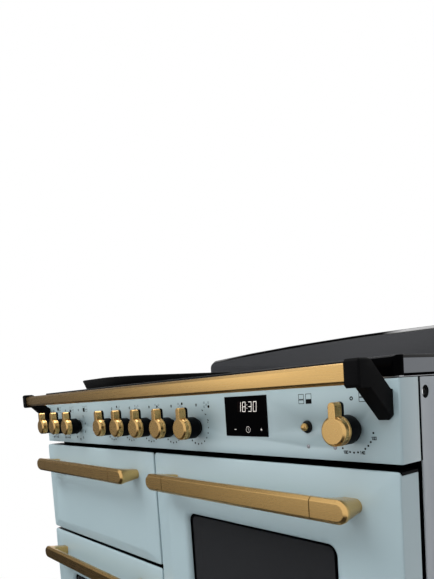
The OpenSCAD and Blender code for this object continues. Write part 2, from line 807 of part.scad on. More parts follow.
// the grill's serpentine and, round each fan, a ring; all end in the cavities' back walls
module heating_elements() color("darkslategray") {
    legs = 8;
    pitch = 46;
    y0 = cavity_y + 50;
    y1 = cavity_y + grill_d - 60;
    translate([-door_x, 0, grill_mouth_z + grill_h - 22]) {
        for (i = [0:legs - 1]) {
            x = (i - (legs - 1) / 2) * pitch;
            outer = i == 0 || i == legs - 1;
            bar_y(x, y0, outer ? cavity_y + grill_d : y1, 0, element_r);
        }
        for (i = [0:legs - 2]) translate([(i + 0.5 - (legs - 1) / 2) * pitch, i % 2 == 0 ? y0 : y1, 0])
            mirror([0, i % 2 == 0 ? 1 : 0, 0]) half_bend(pitch / 2);
    }
    for (side = [-1, 1]) translate([side * door_x, 0, slot_z(side)]) {
        translate([0, fan_y + 8, 0]) rotate([90, 0, 0])
            rotate_extrude() translate([fan_r + 14, 0]) circle(element_r, $fn = 24);
        for (x = [-12, 12])
            bar_y(x, fan_y + 8, cavity_y + oven_d, -sqrt((fan_r + 14) * (fan_r + 14) - x * x), element_r - 0.5);
    }
}

// ladder frames on the ovens' side walls, made of welded wire
module shelf_racks() color("silver") for (side = [-1, 1]) {
    z0 = side < 0 ? left_mouth_z : right_mouth_z;
    translate([side * door_x, 0, z0]) both_sides() {
        for (y = rack_y) {
            bar_z(rack_x, y, 28, oven_h - 28, rack_r);
            for (z = [36, oven_h - 36]) bar_x(rack_x, cavity_w / 2, y, z, rack_r - 0.5);
        }
        for (i = [0:3]) bar_y(rung_x, rack_y[0] - 8, rack_y[1] + 8, rung_z(i), rung_r);
    }
}

function rung_z(i) = 60 + i * rung_pitch;

// a wire shelf: a frame of rod with thinner wires across it
module shelf(side) color("silver") {
    z0 = side < 0 ? left_mouth_z : right_mouth_z;
    w = rung_x - 0.8;
    r = shelf_rod_r;
    z = rung_z(shelf_rung) + rung_r + r + seat;
    y0 = rack_y[0] - 20;
    y1 = rack_y[1] + 4;
    wires = floor((w - 8) / wire_pitch);
    translate([side * door_x, 0, z0 + z]) {
        for (x = [-w, w]) bar_y(x, y0 - r, y1 + r, 0, r);
        for (y = [y0, y1]) bar_x(-w, w, y, 0, r - 0.2);
        for (i = [-wires:wires]) bar_y(i * wire_pitch, y0, y1, 0, wire_r);
    }
}

// an enamel tray with a rolled rim and a wire trivet's place inside
module grill_pan() color("darkslategray") translate([-door_x, cavity_y + 30 + pan_d / 2, grill_mouth_z + seat]) {
    difference() {
        linear_extrude(pan_h) centred_rect(pan_w, pan_d, 16);
        translate([0, 0, 1.5]) linear_extrude(pan_h) centred_rect(pan_w - 3, pan_d - 3, 14.5);
    }
    translate([0, 0, pan_h - 2]) linear_extrude(2) difference() {
        centred_rect(pan_w + 12, pan_d + 12, 22);
        centred_rect(pan_w - 3, pan_d - 3, 14.5);
    }
}

// woven rope seals on the front frame, one round each mouth that gets hot
module door_seals() color("dimgray") for (m = [for (i = [0:2]) mouths()[i]]) translate([m[0], 0, 0]) difference() {
    round_plate(m[1] + 2 * seal_w + 4, m[2] + 2 * seal_w + 4, mouth_r + seal_w + 2,
        m[3] - seal_w - 2, door_back + seat, frame_y);
    round_plate(m[1] + 4, m[2] + 4, mouth_r + 2, m[3] - 2, door_back, frame_y + eps);
}

// DOORS

// a door's outer form: bevelled borders beside and below a raised field, and a rounded crown above it
module door_form(h) {
    w = door_w;
    roll_r = (crown_h * crown_h + field_raise * field_raise) / (2 * field_raise);
    intersection() {
        along_x(-w / 2, w / 2) difference() {
            polygon([[edge_y, 0], [field_y, border_bottom], [field_y, h], [door_back, h], [door_back, 0]]);
            difference() {
                translate([field_y - eps, h - crown_h]) square([field_raise + eps, crown_h + eps]);
                translate([field_y + roll_r, h - crown_h]) circle(roll_r, $fn = 360);
            }
        }
        linear_extrude(h) polygon([
            [-w / 2, edge_y], [-w / 2 + border_side, field_y], [w / 2 - border_side, field_y], [w / 2, edge_y],
            [w / 2, door_back], [-w / 2, door_back]
        ]);
        along_y(field_y - eps, door_back) round_rect(w, h, corner_r, $fn = 12);
    }
}

// the hollow between a door's folded sides
module door_pocket(h) {
    t = skin_t;
    translate([0, 0, t]) along_y(edge_y + t, door_back + eps)
        round_rect(door_w - 2 * t, h - 2 * t, corner_r - t, $fn = 12);
}

// the enamelled skin: one pressing with folded sides, open at the back
module door_skin(h, window) color("lightblue") {
    w = door_w;
    t = skin_t;
    reveal = 5;
    reveal_r = window_r - reveal;
    wz = h - window_drop - window_h;
    difference() {
        union() {
            difference() {
                door_form(h);
                door_pocket(h + 2 * corner_r);
                block([-w / 2 + border_side, field_y + t, border_bottom],
                    [w / 2 - border_side, edge_y + t + eps, h - crown_h]);
                // the top is closed by the liner's bright strip
                block([-w / 2 - eps, strip_y - seat, h - strip_h], [w / 2 + eps, door_back + eps, h + eps]);
                // the lower back edge swings past the front frame
                block([-w / 2 - eps, sweep_y, -eps], [w / 2 + eps, door_back + eps, pivot_z]);
            }
            // collar round the window
            if (window) round_plate(window_w + 2 * t, window_h + 2 * t, window_r + t, wz - t, field_y, 0);
        }
        if (window) hull() {
            round_plate(window_w, window_h, window_r, wz, field_y - 0.1, field_y, $fn = 32);
            round_plate(window_w - 2 * reveal, window_h - 2 * reveal, reveal_r, wz + reveal, 0, 0.1, $fn = 32);
        }
        // notches for the hinge lugs
        for (x = [-lug_x, lug_x])
            block([x - lug_t / 2 - cheek_gap, pivot_y - lug_r - 2, -eps], [x + lug_t / 2 + cheek_gap, door_back, t + eps]);
    }
}

strip_y = 0;         // the bright strip starts this far behind the control panel's face
strip_h = 4.5;

// the inner panel: back sheet, bright top strip, cheeks and pins of the hinges
module door_liner(h, window) color("silver") {
    w = door_w;
    in_w = w / 2 - skin_t - seat;
    back0 = door_back - 2;
    wz = h - window_drop - window_h;
    difference() {
        union() {
            block([-in_w, back0, liner_z], [in_w, door_back, h - strip_h]);
            // folded edge that stiffens the sheet
            block([-in_w, back0 - 8, liner_z + 24], [-in_w + 2, back0, h - strip_h]);
            block([in_w - 2, back0 - 8, liner_z + 24], [in_w, back0, h - strip_h]);
        }
        if (window) round_plate(window_w - 10, window_h - 10, window_r - 5, wz + 5, back0 - eps, door_back + eps);
        // slots for the lugs
        for (x = [-lug_x, lug_x]) block([x - lug_t / 2 - cheek_gap, back0 - eps, liner_z - eps],
            [x + lug_t / 2 + cheek_gap, door_back + eps, pivot_z + lug_r + 3]);
    }
    block([-w / 2, strip_y, h - strip_h + seat], [w / 2, door_back, h - 0.5]);
    block([-w / 2 + skin_t + seat, back0, h - strip_h - 1], [w / 2 - skin_t - seat, door_back, h - strip_h + 1]);
    for (x = [-lug_x, lug_x]) {
        for (s = [-1, 1]) hinge_cheek(x + s * (lug_t / 2 + cheek_gap + cheek_t / 2));
        bar_x(x - lug_t / 2 - cheek_gap - 0.5, x + lug_t / 2 + cheek_gap + 0.5, pivot_y, pivot_z, pin_r);
    }
}

module hinge_cheek(x) {
    bar_x(x - cheek_t / 2, x + cheek_t / 2, pivot_y, pivot_z, lug_r - 1);
    block([x - cheek_t / 2, pivot_y, pivot_z - 8], [x + cheek_t / 2, door_back - 1, pivot_z + 30]);
}

// two panes: one behind the skin's window, one on the liner
module door_panes(h) color("dimgray") {
    wz = h - window_drop - window_h;
    round_plate(window_w + 24, window_h + 24, window_r, wz - 12, 0, pane_t);
    round_plate(window_w + 10, window_h + 10, window_r, wz - 5, door_back - 2 - pane_t, door_back - 2);
}

// a bar with chamfered front and an end piece at each side that turns back to the door
module door_handle(h) color("goldenrod") translate([0, 0, h - handle_drop]) {
    split_x = handle_l / 2 - handle_end_l;
    split_gap = 0.4;
    intersection() {
        handle_rod();
        block([-split_x, -handle_reach, -handle_h], [split_x, 0, handle_h]);
    }
    both_sides() difference() {
        union() {
            intersection() {
                handle_rod();
                block([split_x + split_gap, -handle_reach, -handle_h], [handle_l, 0, handle_h]);
            }
            handle_post();
        }
        translate([0, 0, handle_drop - h]) door_form(h);
    }
}

module handle_rod() {
    r = handle_h / 2;
    c = handle_chamfer;
    x = handle_l / 2 - r;
    y0 = -handle_reach;
    y1 = y0 + handle_t;
    for (s = [-x, x]) {
        bar_y(s, y0, y0 + c, 0, r - c, r);
        bar_y(s, y0 + c, y1, 0, r);
    }
    along_x(-x, x) polygon([[y0, -r + c], [y0 + c, -r], [y1, -r], [y1, r], [y0 + c, r], [y0, r - c]]);
}

// the leg behind an end piece: round outside, flat inside, filleted at the bar and tapering to the door
module handle_post() {
    r = handle_h / 2 - 0.5;
    foot_r = leg_foot_h / 2;
    x1 = handle_l / 2 - handle_h / 2 - 4;
    y0 = -handle_reach + handle_t - 0.5;
    fillet = 10;
    bar_y(x1, y0, edge_y, 0, r, foot_r);
    intersection() {
        along_x(x1 - leg_w - fillet, x1) polygon([[y0, -r], [edge_y, -foot_r], [edge_y, foot_r], [y0, r]]);
        union() {
            block([x1 - leg_w, y0, -r], [x1, edge_y, r]);
            difference() {
                block([x1 - leg_w - fillet, y0, -r], [x1 - leg_w, y0 + fillet, r]);
                bar_z(x1 - leg_w - fillet, y0 + fillet, -r - eps, r + eps, fillet);
            }
        }
    }
}

// DRAWER

// a floor with two sides and a back standing on it, and the plate that closes the back of the drawer's front
module drawer_box() color("dimgray") translate([door_x, 0, drawer_z()]) {
    t = 1.5;
    x = drawer_w / 2;
    y0 = door_back + seat;
    y1 = y0 + drawer_d;
    z = t + seat;
    block([-x, y0, 0], [x, y1, t]);
    both_sides() block([x - t, y0, z], [x, y1, drawer_h]);
    block([-x + t + seat, y1 - t, z], [x - t - seat, y1, drawer_h]);
    block([-door_w / 2 + skin_t + seat, door_back - t, 4 - drawer_z() + plinth_top],
        [door_w / 2 - skin_t - seat, door_back, short_door_h - strip_h - 1 - drawer_z() + plinth_top]);
}

module drawer_front() color("lightblue") {
    w = door_w;
    h = short_door_h;
    t = skin_t;
    difference() {
        door_form(h);
        door_pocket(h);
        block([-w / 2 + border_side, field_y + t, border_bottom], [w / 2 - border_side, edge_y + t + eps, h - crown_h]);
    }
}

module at_door(side, z) translate([side * door_x, 0, z]) children();

place() chassis_base();
place() mirror([1, 0, 0]) side_panel();  // side_panel_left
place() side_panel();  // side_panel_right
place() back_panel();
place() front_frame();
place() plinth();
place() levelling_feet();
place() hob_frame();
place() hob_front_trim();
place() hob_glass();
place() coil_tray();
place() induction_coils();
place() rear_upstand();
place() control_panel();
place() display_module();
place() indicator_lenses();
place() button_bezel();
place() control_switches();
place() rail_bar();
place() rail_brackets();
place() side_plugs();
place() grill_cavity();
place() oven_cavity(-1, left_mouth_z);  // oven_cavity_left
place() oven_cavity(1, right_mouth_z);  // oven_cavity_right
place() heating_elements();
place() shelf_racks();
place() fan_covers();
place() fan_motors();
place() door_seals();
place() terminal_box();
place() at_door(-1, grill_door_z) door_skin(short_door_h, false);  // grill_door_skin
place() at_door(-1, grill_door_z) door_liner(short_door_h, false);  // grill_door_liner
place() at_door(-1, grill_door_z) door_handle(short_door_h);  // grill_door_handle
place() at_door(-1, plinth_top) door_skin(tall_door_h, true);  // left_door_skin
place() at_door(-1, plinth_top) door_liner(tall_door_h, true);  // left_door_liner
place() at_door(-1, plinth_top) door_panes(tall_door_h);  // left_door_panes
place() at_door(-1, plinth_top) door_handle(tall_door_h);  // left_door_handle
place() at_door(1, right_door_z) door_skin(tall_door_h, true);  // right_door_skin
place() at_door(1, right_door_z) door_liner(tall_door_h, true);  // right_door_liner
place() at_door(1, right_door_z) door_panes(tall_door_h);  // right_door_panes
place() at_door(1, right_door_z) door_handle(tall_door_h);  // right_door_handle
place() at_door(1, plinth_top) drawer_front();
place() drawer_box();
place() at_door(1, plinth_top) door_handle(short_door_h);  // drawer_handle
place() griddle();
place() grill_pan();
place() shelf(-1);  // shelf_left
place() shelf(1);  // shelf_right
place() fan(-1);  // fan_left
place() fan(1);  // fan_right
place() push_button();
place() knob(knob_places[0]);  // knob_1
place() knob(knob_places[1]);  // knob_2
place() knob(knob_places[2]);  // knob_3
place() knob(knob_places[3]);  // knob_4
place() knob(knob_places[4]);  // knob_5
place() knob(knob_places[5]);  // knob_6
place() knob(knob_places[6]);  // knob_7
place() knob(knob_places[7]);  // knob_8
place() knob(knob_places[8]);  // knob_9
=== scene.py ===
import math

import bmesh
import bpy
from mathutils import Matrix, Vector


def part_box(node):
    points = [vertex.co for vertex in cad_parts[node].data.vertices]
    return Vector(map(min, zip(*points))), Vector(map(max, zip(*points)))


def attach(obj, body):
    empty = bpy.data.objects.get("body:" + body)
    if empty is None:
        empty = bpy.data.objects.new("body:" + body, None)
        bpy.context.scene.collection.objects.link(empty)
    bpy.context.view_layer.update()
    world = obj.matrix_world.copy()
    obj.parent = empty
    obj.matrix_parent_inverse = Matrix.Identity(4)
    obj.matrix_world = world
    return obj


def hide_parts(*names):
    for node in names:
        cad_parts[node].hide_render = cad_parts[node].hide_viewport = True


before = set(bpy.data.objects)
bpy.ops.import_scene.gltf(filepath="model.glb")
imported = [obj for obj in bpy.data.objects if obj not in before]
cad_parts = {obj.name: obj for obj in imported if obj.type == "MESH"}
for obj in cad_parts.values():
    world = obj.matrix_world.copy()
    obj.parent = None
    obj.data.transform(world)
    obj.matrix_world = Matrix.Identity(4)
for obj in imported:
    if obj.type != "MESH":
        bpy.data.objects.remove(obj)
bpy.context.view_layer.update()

# The studio: a pale floor, a white surround and large soft lamps.
# The camera stands at the right-hand end of the cooker, a little below the hob.


def tone(r, g, b):
    """A colour as a screen shows it, 0 to 255, as the numbers that a shader takes."""
    return tuple(
        v / 12.92 if v <= 0.04045 else ((v + 0.055) / 1.055) ** 2.4 for v in (r / 255, g / 255, b / 255)
    ) + (1.0,)


def link_object(name, data):
    """A new object in the scene for a mesh, a lamp or a camera."""
    made = bpy.data.objects.new(name, data)
    bpy.context.scene.collection.objects.link(made)
    return made


def add_node(tree, kind, inputs=None, **settings):
    """A node with its settings; each input is another node's socket or a plain value."""
    node = tree.nodes.new(kind)
    for name, value in settings.items():
        setattr(node, name, value)
    for name, value in (inputs or {}).items():
        if isinstance(value, bpy.types.NodeSocket):
            tree.links.new(value, node.inputs[name])
        else:
            node.inputs[name].default_value = value
    return node


def bare_paint(name):
    """A new material with its node tree and its shader."""
    paint = bpy.data.materials.new(name)
    paint.use_nodes = True
    return paint, paint.node_tree, paint.node_tree.nodes["Principled BSDF"]


scene = bpy.context.scene
scene.view_settings.view_transform = "Standard"

# the lens, in pixels of the photograph's height, and the camera's place and axes
focal_px, level_px, height_px, sensor = 527.18, 432.58, 579, 36
right = Vector((0.63260183, 0.77147852, -0.0680869))
down = Vector((0.01470546, -0.09986261, -0.99489256))
ahead = Vector((-0.77433757, 0.6283696, -0.07451821))
camera_data = bpy.data.cameras.new("camera")
camera_data.lens = focal_px * sensor / height_px
camera_data.sensor_width = sensor
camera_data.shift_y = (level_px - height_px / 2) / height_px
camera_data.clip_start = 0.01
camera = link_object("camera", camera_data)
turn = Matrix((right, -down, -ahead)).transposed().to_4x4()
camera.matrix_world = Matrix.Translation((0.89178, -0.84890, 0.88850)) @ turn
scene.camera = camera

# the floor turns white away from the cooker, for the camera and for reflections; matt surfaces see it as it is
floor_side, fade_from, fade_to = 9, 0.95, 1.75
floor_mesh = bpy.data.meshes.new("floor")
floor_mesh.from_pydata([(-floor_side, -floor_side, 0), (floor_side, -floor_side, 0), (floor_side, floor_side, 0),
                        (-floor_side, floor_side, 0)], [], [(0, 1, 2, 3)])
floor = link_object("floor", floor_mesh)
floor_paint, tree, floor_shader = bare_paint("floor_paint")
floor_shader.inputs["Base Color"].default_value = tone(232, 232, 232)
floor_shader.inputs["Roughness"].default_value = 0.9
floor_shader.inputs["Specular IOR Level"].default_value = 0.1
spot = add_node(tree, "ShaderNodeTexCoord")
reach = add_node(tree, "ShaderNodeVectorMath", {0: spot.outputs["Object"]}, operation="LENGTH")
fade = add_node(tree, "ShaderNodeMapRange", {"Value": reach.outputs["Value"], "From Min": fade_from,
                                             "From Max": fade_to}, interpolation_type="SMOOTHSTEP")
rays = add_node(tree, "ShaderNodeLightPath").outputs
shown = add_node(tree, "ShaderNodeMath", {0: rays["Is Camera Ray"], 1: rays["Is Glossy Ray"]}, operation="MAXIMUM")
share = add_node(tree, "ShaderNodeMath", {0: fade.outputs[0], 1: shown.outputs[0]}, operation="MULTIPLY")
white = add_node(tree, "ShaderNodeEmission")
mix = add_node(tree, "ShaderNodeMixShader", {"Fac": share.outputs[0], 1: floor_shader.outputs[0], 2: white.outputs[0]})
tree.links.new(mix.outputs[0], tree.nodes["Material Output"].inputs["Surface"])
floor_mesh.materials.append(floor_paint)

# the surround is plain white to look at and in reflections, and lights the object only a little
world = bpy.data.worlds.new("surround")
world.use_nodes = True
scene.world = world
tree = world.node_tree
tree.nodes.clear()
rays = add_node(tree, "ShaderNodeLightPath").outputs
shown = add_node(tree, "ShaderNodeMath", {0: rays["Is Camera Ray"], 1: rays["Is Glossy Ray"]}, operation="MAXIMUM")
shown = add_node(tree, "ShaderNodeMath", {0: shown.outputs[0], 1: rays["Is Transmission Ray"]}, operation="MAXIMUM")
seen = add_node(tree, "ShaderNodeBackground", {"Color": (1, 1, 1, 1)})
lit_by = add_node(tree, "ShaderNodeBackground", {"Color": (0.92, 0.96, 1.0, 1), "Strength": 0.2})
mix = add_node(tree, "ShaderNodeMixShader", {"Fac": shown.outputs[0], 1: lit_by.outputs[0], 2: seen.outputs[0]})
add_node(tree, "ShaderNodeOutputWorld", {"Surface": mix.outputs[0]})


def soft_lamp(name, place, aim, size, watts):
    """A large rectangular lamp, left out of reflections."""
    data = bpy.data.lights.new(name, "AREA")
    data.shape = "RECTANGLE"
    data.size, data.size_y = size
    data.energy = watts
    lamp = link_object(name, data)
    lamp.location = place
    lamp.rotation_euler = (Vector(aim) - Vector(place)).to_track_quat("-Z", "Y").to_euler()
    lamp.visible_glossy = False


doors_middle = (0, -0.2, 0.7)
soft_lamp("lamp_overhead", (0.0, -0.5, 3.2), (0, -0.2, 0.6), (3.4, 1.4), 8)
soft_lamp("lamp_front", (-0.6, -2.1, 3.3), doors_middle, (3.2, 1.6), 76)
soft_lamp("lamp_front_right", (1.6, -2.2, 3.0), doors_middle, (1.6, 1.6), 18)
soft_lamp("lamp_left", (-2.6, -2.5, 1.4), doors_middle, (2.0, 1.4), 27)
soft_lamp("lamp_near", (-1.4, -1.0, 2.4), (-0.3, -0.2, 0.6), (1.0, 1.0), 12)
soft_lamp("lamp_right", (1.75, -0.05, 1.7), (0.4, 0, 0.8), (1.2, 1.2), 2.4)
soft_lamp("lamp_back", (0.2, 2.6, 2.2), (0, 0, 0.8), (2.6, 1.4), 30)


def glow_paint(name):
    """An empty material and the three axes of its place, for a light that changes from place to place."""
    paint, tree, _ = bare_paint(name)
    tree.nodes.clear()
    spot = add_node(tree, "ShaderNodeTexCoord")
    return paint, tree, add_node(tree, "ShaderNodeSeparateXYZ", {0: spot.outputs["Object"]}).outputs


def reflected_only(name, corners, faces, paint, strength=None):
    """A surface that only reflections show; with a strength it glows."""
    if strength:
        glow = add_node(paint.node_tree, "ShaderNodeEmission", {"Strength": strength})
        add_node(paint.node_tree, "ShaderNodeOutputMaterial", {"Surface": glow.outputs[0]})
    mesh = bpy.data.meshes.new(name)
    mesh.from_pydata(corners, [], faces)
    mesh.materials.append(paint)
    made = link_object(name, mesh)
    made.visible_camera = made.visible_diffuse = made.visible_shadow = made.visible_transmission = False


# a graded card on the left, white near the camera and dark beside the cooker
card_x, card_strength = -3, 1.8
card_paint, tree, axes = glow_paint("graded_card_paint")
levels = []
for axis, low, high, stops in (
    ("Y", -5.0, -1.0, ((0, 0.92), (0.125, 0.86), (0.375, 0.6), (0.54, 0.4), (0.74, 0.235), (0.93, 0.14), (1, 0.12))),
    ("Z", 0.0, 2.4, ((0, 0.4), (0.15, 0.5), (0.4, 0.72), (0.6, 0.95), (1, 1)))
):
    reach = add_node(tree, "ShaderNodeMapRange", {"Value": axes[axis], "From Min": low, "From Max": high})
    ramp = add_node(tree, "ShaderNodeValToRGB", {"Fac": reach.outputs[0]})
    while len(ramp.color_ramp.elements) < len(stops):
        ramp.color_ramp.elements.new(0.5)
    for stop, (at, level) in zip(ramp.color_ramp.elements, stops):
        stop.position = at
        stop.color = (level, level, level, 1)
    levels.append(ramp.outputs["Color"])
both = add_node(tree, "ShaderNodeMath", {0: levels[0], 1: levels[1]}, operation="MULTIPLY")
full = add_node(tree, "ShaderNodeMath", {0: both.outputs[0], 1: card_strength}, operation="MULTIPLY")
reflected_only("graded_card", [(card_x, -6, -1), (card_x, 0.6, -1), (card_x, 0.6, 4.2), (card_x, -6, 4.2)],
               [(0, 1, 2, 3)], card_paint, full.outputs[0])

# a ceiling card over the back, bright above the right half: the upstand's glossy bevel mirrors it
ceiling_z, bright_from, bright_to, ceiling_strength = 3.2, -1.245, -1.08, 7.0
ceiling_paint, tree, axes = glow_paint("ceiling_card_paint")
level = add_node(tree, "ShaderNodeMapRange", {"Value": axes["X"], "From Min": bright_from, "From Max": bright_to,
                                              "To Max": ceiling_strength})
reflected_only("ceiling_card", [(-3.4, 0.2, ceiling_z), (0.5, 0.2, ceiling_z), (0.5, 0.9, ceiling_z),
                                (-3.4, 0.9, ceiling_z)], [(0, 1, 2, 3)], ceiling_paint, level.outputs[0])

# a black flag low in front: brass edges that face down mirror it, as they mirror a dark studio floor
flag_z = 0.03
flag_paint, tree, flag_shader = bare_paint("floor_flag_paint")
flag_shader.inputs["Base Color"].default_value = tone(30, 30, 32)
flag_shader.inputs["Roughness"].default_value = 0.9
reflected_only("floor_flag", [(x, y, flag_z) for x, y in (
    (-3, -2.6), (1.6, -2.6), (1.6, -0.36), (-3, -0.36), (-0.6, -0.36), (-0.6, 0.9), (-3, 0.9))],
    [(0, 1, 2, 4, 3), (3, 4, 5, 6)], flag_paint)

# Sheet-metal carcass: folded steel sides, back, base and the black front frame behind the doors.
# The sides are sprayed satin grey, the frame and plinth are black, the rest is bare galvanised sheet.

MM = 0.001
FRONT = -0.287       # the control panel's face, in metres


def surface(name, dark, light, grain=(1, 1, 1), scale=60.0, metallic=0.0, rough=(0.3, 0.4), bump=0.0,
            bump_scale=400.0, coat=0.0, coat_rough=0.05, specular=0.5):
    """A finish that wanders a little between two colours, with its roughness and a fine relief from noise."""
    paint, tree, shader = bare_paint(name)
    spot = add_node(tree, "ShaderNodeTexCoord")
    stretch = add_node(tree, "ShaderNodeMapping", {"Vector": spot.outputs["Object"], "Scale": grain})
    cloud = add_node(tree, "ShaderNodeTexNoise", {"Vector": stretch.outputs[0], "Scale": scale, "Detail": 4})
    blend = add_node(tree, "ShaderNodeMix", {"Factor": cloud.outputs["Fac"], "A": dark, "B": light}, data_type="RGBA")
    tree.links.new(blend.outputs["Result"], shader.inputs["Base Color"])
    spread = add_node(tree, "ShaderNodeMapRange", {"Value": cloud.outputs["Fac"], "From Min": 0.3, "From Max": 0.7,
                                                   "To Min": rough[0], "To Max": rough[1]})
    tree.links.new(spread.outputs[0], shader.inputs["Roughness"])
    if bump:
        relief = add_node(tree, "ShaderNodeTexNoise", {"Vector": stretch.outputs[0], "Scale": bump_scale, "Detail": 2})
        raised = add_node(tree, "ShaderNodeBump", {"Height": relief.outputs["Fac"], "Strength": bump,
                                                   "Distance": 0.0004})
        tree.links.new(raised.outputs[0], shader.inputs["Normal"])
    for socket, value in (("Metallic", metallic), ("Specular IOR Level", specular), ("Coat Weight", coat),
                          ("Coat Roughness", coat_rough)):
        shader.inputs[socket].default_value = value
    return paint


def dress(node, paint):
    """Gives a carried-over node its finish."""
    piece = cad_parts[node]
    if not piece.material_slots:
        piece.data.materials.append(paint)
    for slot in piece.material_slots:
        slot.material = paint


def smooth_by_angle(mesh, degrees):
    """Smooth shading, with a crease wherever two faces meet at more than the angle."""
    for face in mesh.polygons:
        face.use_smooth = True
    shape = bmesh.new()
    shape.from_mesh(mesh)
    limit = math.radians(degrees)
    for edge in shape.edges:
        edge.smooth = not (len(edge.link_faces) == 2 and edge.calc_face_angle(0) > limit)
    shape.to_mesh(mesh)
    shape.free()


def clean_copy(node):
    """The node's own surface with its triangles joined back into flat faces."""
    shape = bmesh.new()
    shape.from_mesh(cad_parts[node].data)
    bmesh.ops.remove_doubles(shape, verts=shape.verts, dist=1e-6)
    bmesh.ops.dissolve_limit(shape, angle_limit=math.radians(0.6), verts=shape.verts, edges=shape.edges)
    return shape


def stand_for(piece, nodes, body):
    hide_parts(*nodes)
    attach(piece, body)
    return piece


def bevelled(piece, width, angle, segments):
    """The piece with a bevel worked into its mesh."""
    ease = piece.modifiers.new("ease", "BEVEL")
    ease.width = width * MM
    ease.segments = segments
    ease.limit_method = "ANGLE"
    ease.angle_limit = math.radians(angle)
    done = bpy.data.meshes.new_from_object(piece.evaluated_get(bpy.context.evaluated_depsgraph_get()))
    piece.modifiers.clear()
    piece.data = done
    smooth_by_angle(done, 35)


def eased(node, paint, body, width=0.8, angle=32, segments=2):
    """The node's own shape with its sharp edges eased, as a press or a casting leaves them."""
    shape = clean_copy(node)
    mesh = bpy.data.meshes.new(node + "_eased")
    shape.to_mesh(mesh)
    shape.free()
    mesh.materials.append(paint)
    piece = link_object(node + "_eased", mesh)
    bevelled(piece, width, angle, segments)
    return stand_for(piece, [node], body)


galvanised = surface("galvanised_sheet", tone(150, 152, 155), tone(182, 184, 187), scale=90, metallic=1.0,
                     rough=(0.34, 0.52), bump=0.06, bump_scale=300)
grey_spray = surface("satin_grey_spray", tone(178, 183, 188), tone(185, 190, 195), scale=8, rough=(0.42, 0.5),
                     bump=0.12, bump_scale=900, specular=0.35)
black_frame = surface("black_enamel", tone(2, 2, 3), tone(4, 4, 5), scale=10, rough=(0.55, 0.65), bump=0.1,
                      bump_scale=700, specular=0.0)
black_plastic = surface("matt_black_moulding", tone(12, 12, 13), tone(19, 19, 20), scale=40, rough=(0.5, 0.62),
                        bump=0.15, bump_scale=1500, specular=0.2)

for node in ("back_panel", "chassis_base", "terminal_box", "fan_motors"):
    dress(node, galvanised)
for node in ("side_panel_left", "side_panel_right"):
    eased(node, grey_spray, "cooker")
dress("front_frame", black_frame)
dress("plinth", black_frame)
dress("levelling_feet", black_plastic)


def place(x, y, z):
    """A point in millimetres, y behind the control panel's face, as metres in the cooker's frame."""
    return Vector((x * MM, y * MM + FRONT, z * MM))


def skin(name, rings, paint, ends=(False, False), toward=None):
    """A surface through rings of points with as many points each, closed at the ends where asked."""
    count = len(rings[0])
    faces = [
        (k * count + i, k * count + (i + 1) % count, (k + 1) * count + (i + 1) % count, (k + 1) * count + i)
        for k in range(len(rings) - 1) for i in range(count)
    ]
    if ends[0]:
        faces.append(tuple(range(count)))
    if ends[1]:
        faces.append(tuple(range((len(rings) - 1) * count, len(rings) * count)))
    mesh = bpy.data.meshes.new(name)
    mesh.from_pydata([place(*p) for ring in rings for p in ring], [], faces)
    mesh.materials.append(paint)
    shape = bmesh.new()
    shape.from_mesh(mesh)
    bmesh.ops.remove_doubles(shape, verts=shape.verts, dist=1e-7)
    bmesh.ops.recalc_face_normals(shape, faces=shape.faces)
    if toward:
        lean = sum((f.normal * f.calc_area() for f in shape.faces), Vector()).dot(Vector(toward))
        if lean < 0:
            bmesh.ops.reverse_faces(shape, faces=shape.faces)
    shape.to_mesh(mesh)
    shape.free()
    smooth_by_angle(mesh, 30)
    return link_object(name, mesh)


def joined(name, pieces):
    """Several pieces as one mesh; each keeps its own finish."""
    shape = bmesh.new()
    paints = []
    for piece in pieces:
        for paint in piece.data.materials:
            if paint not in paints:
                paints.append(paint)
        base = len(shape.faces)
        shape.from_mesh(piece.data)
        shape.faces.ensure_lookup_table()
        for face in shape.faces[base:]:
            face.material_index = paints.index(piece.data.materials[face.material_index])
    mesh = bpy.data.meshes.new(name)
    shape.to_mesh(mesh)
    shape.free()
    for paint in paints:
        mesh.materials.append(paint)
    for piece in pieces:
        bpy.data.objects.remove(piece)
    return link_object(name, mesh)


def turned(name, cx, cz, profile, paint, steps=40):
    """A turned piece on an axis along y: the profile lists (y, radius)."""
    around = [2 * math.pi * k / steps for k in range(steps)]
    rings = [[(cx + r * math.cos(a), y, cz + r * math.sin(a)) for a in around] for y, r in profile]
    return skin(name, rings, paint, ends=(profile[0][1] > 0.05, profile[-1][1] > 0.05))


# Dished black plugs in the side panels' upper front holes, each with a socket screw.
# The hole is lined in black too, and a near-white metal crescent on the plug's boss is a painted glint.
plug_black = surface("glossy_plug", tone(3, 3, 4), tone(5, 5, 6), scale=40, rough=(0.1, 0.16), specular=0.08)
# near-white metal for the crescent on the boss: a painted glint
plug_glint = surface("plug_painted_glint", tone(238, 239, 241), tone(246, 247, 249), scale=40, rough=(0.14, 0.2), metallic=1.0)
half_w, plug_y, plug_z, crescent_w = 546, 58, 873, 1.5
hole_at = [(0.05, 10.4), (0, 10.1), (0.3, 8.8), (0.9, 8.5), (2.2, 8.3)]      # depth in the panel, and radius
dish_at = [(2, 8.3), (2.4, 7.3), (4.6, 6.2), (5, 5.4), (3, 4.9), (2.6, 4.4), (2.6, 2.7), (4.4, 2.5), (4.5, 0.05)]
whole_turn = [math.pi * k / 18 for k in range(36)]
crescent_turn = [math.radians(a) for a in range(120, 241, 10)]


def round_plug(side, a, profile):
    """Points at one angle round the plug's axis, for a list of depths and radii."""
    return [(side * (half_w - depth), plug_y + r * math.cos(a), plug_z + r * math.sin(a)) for depth, r in profile]


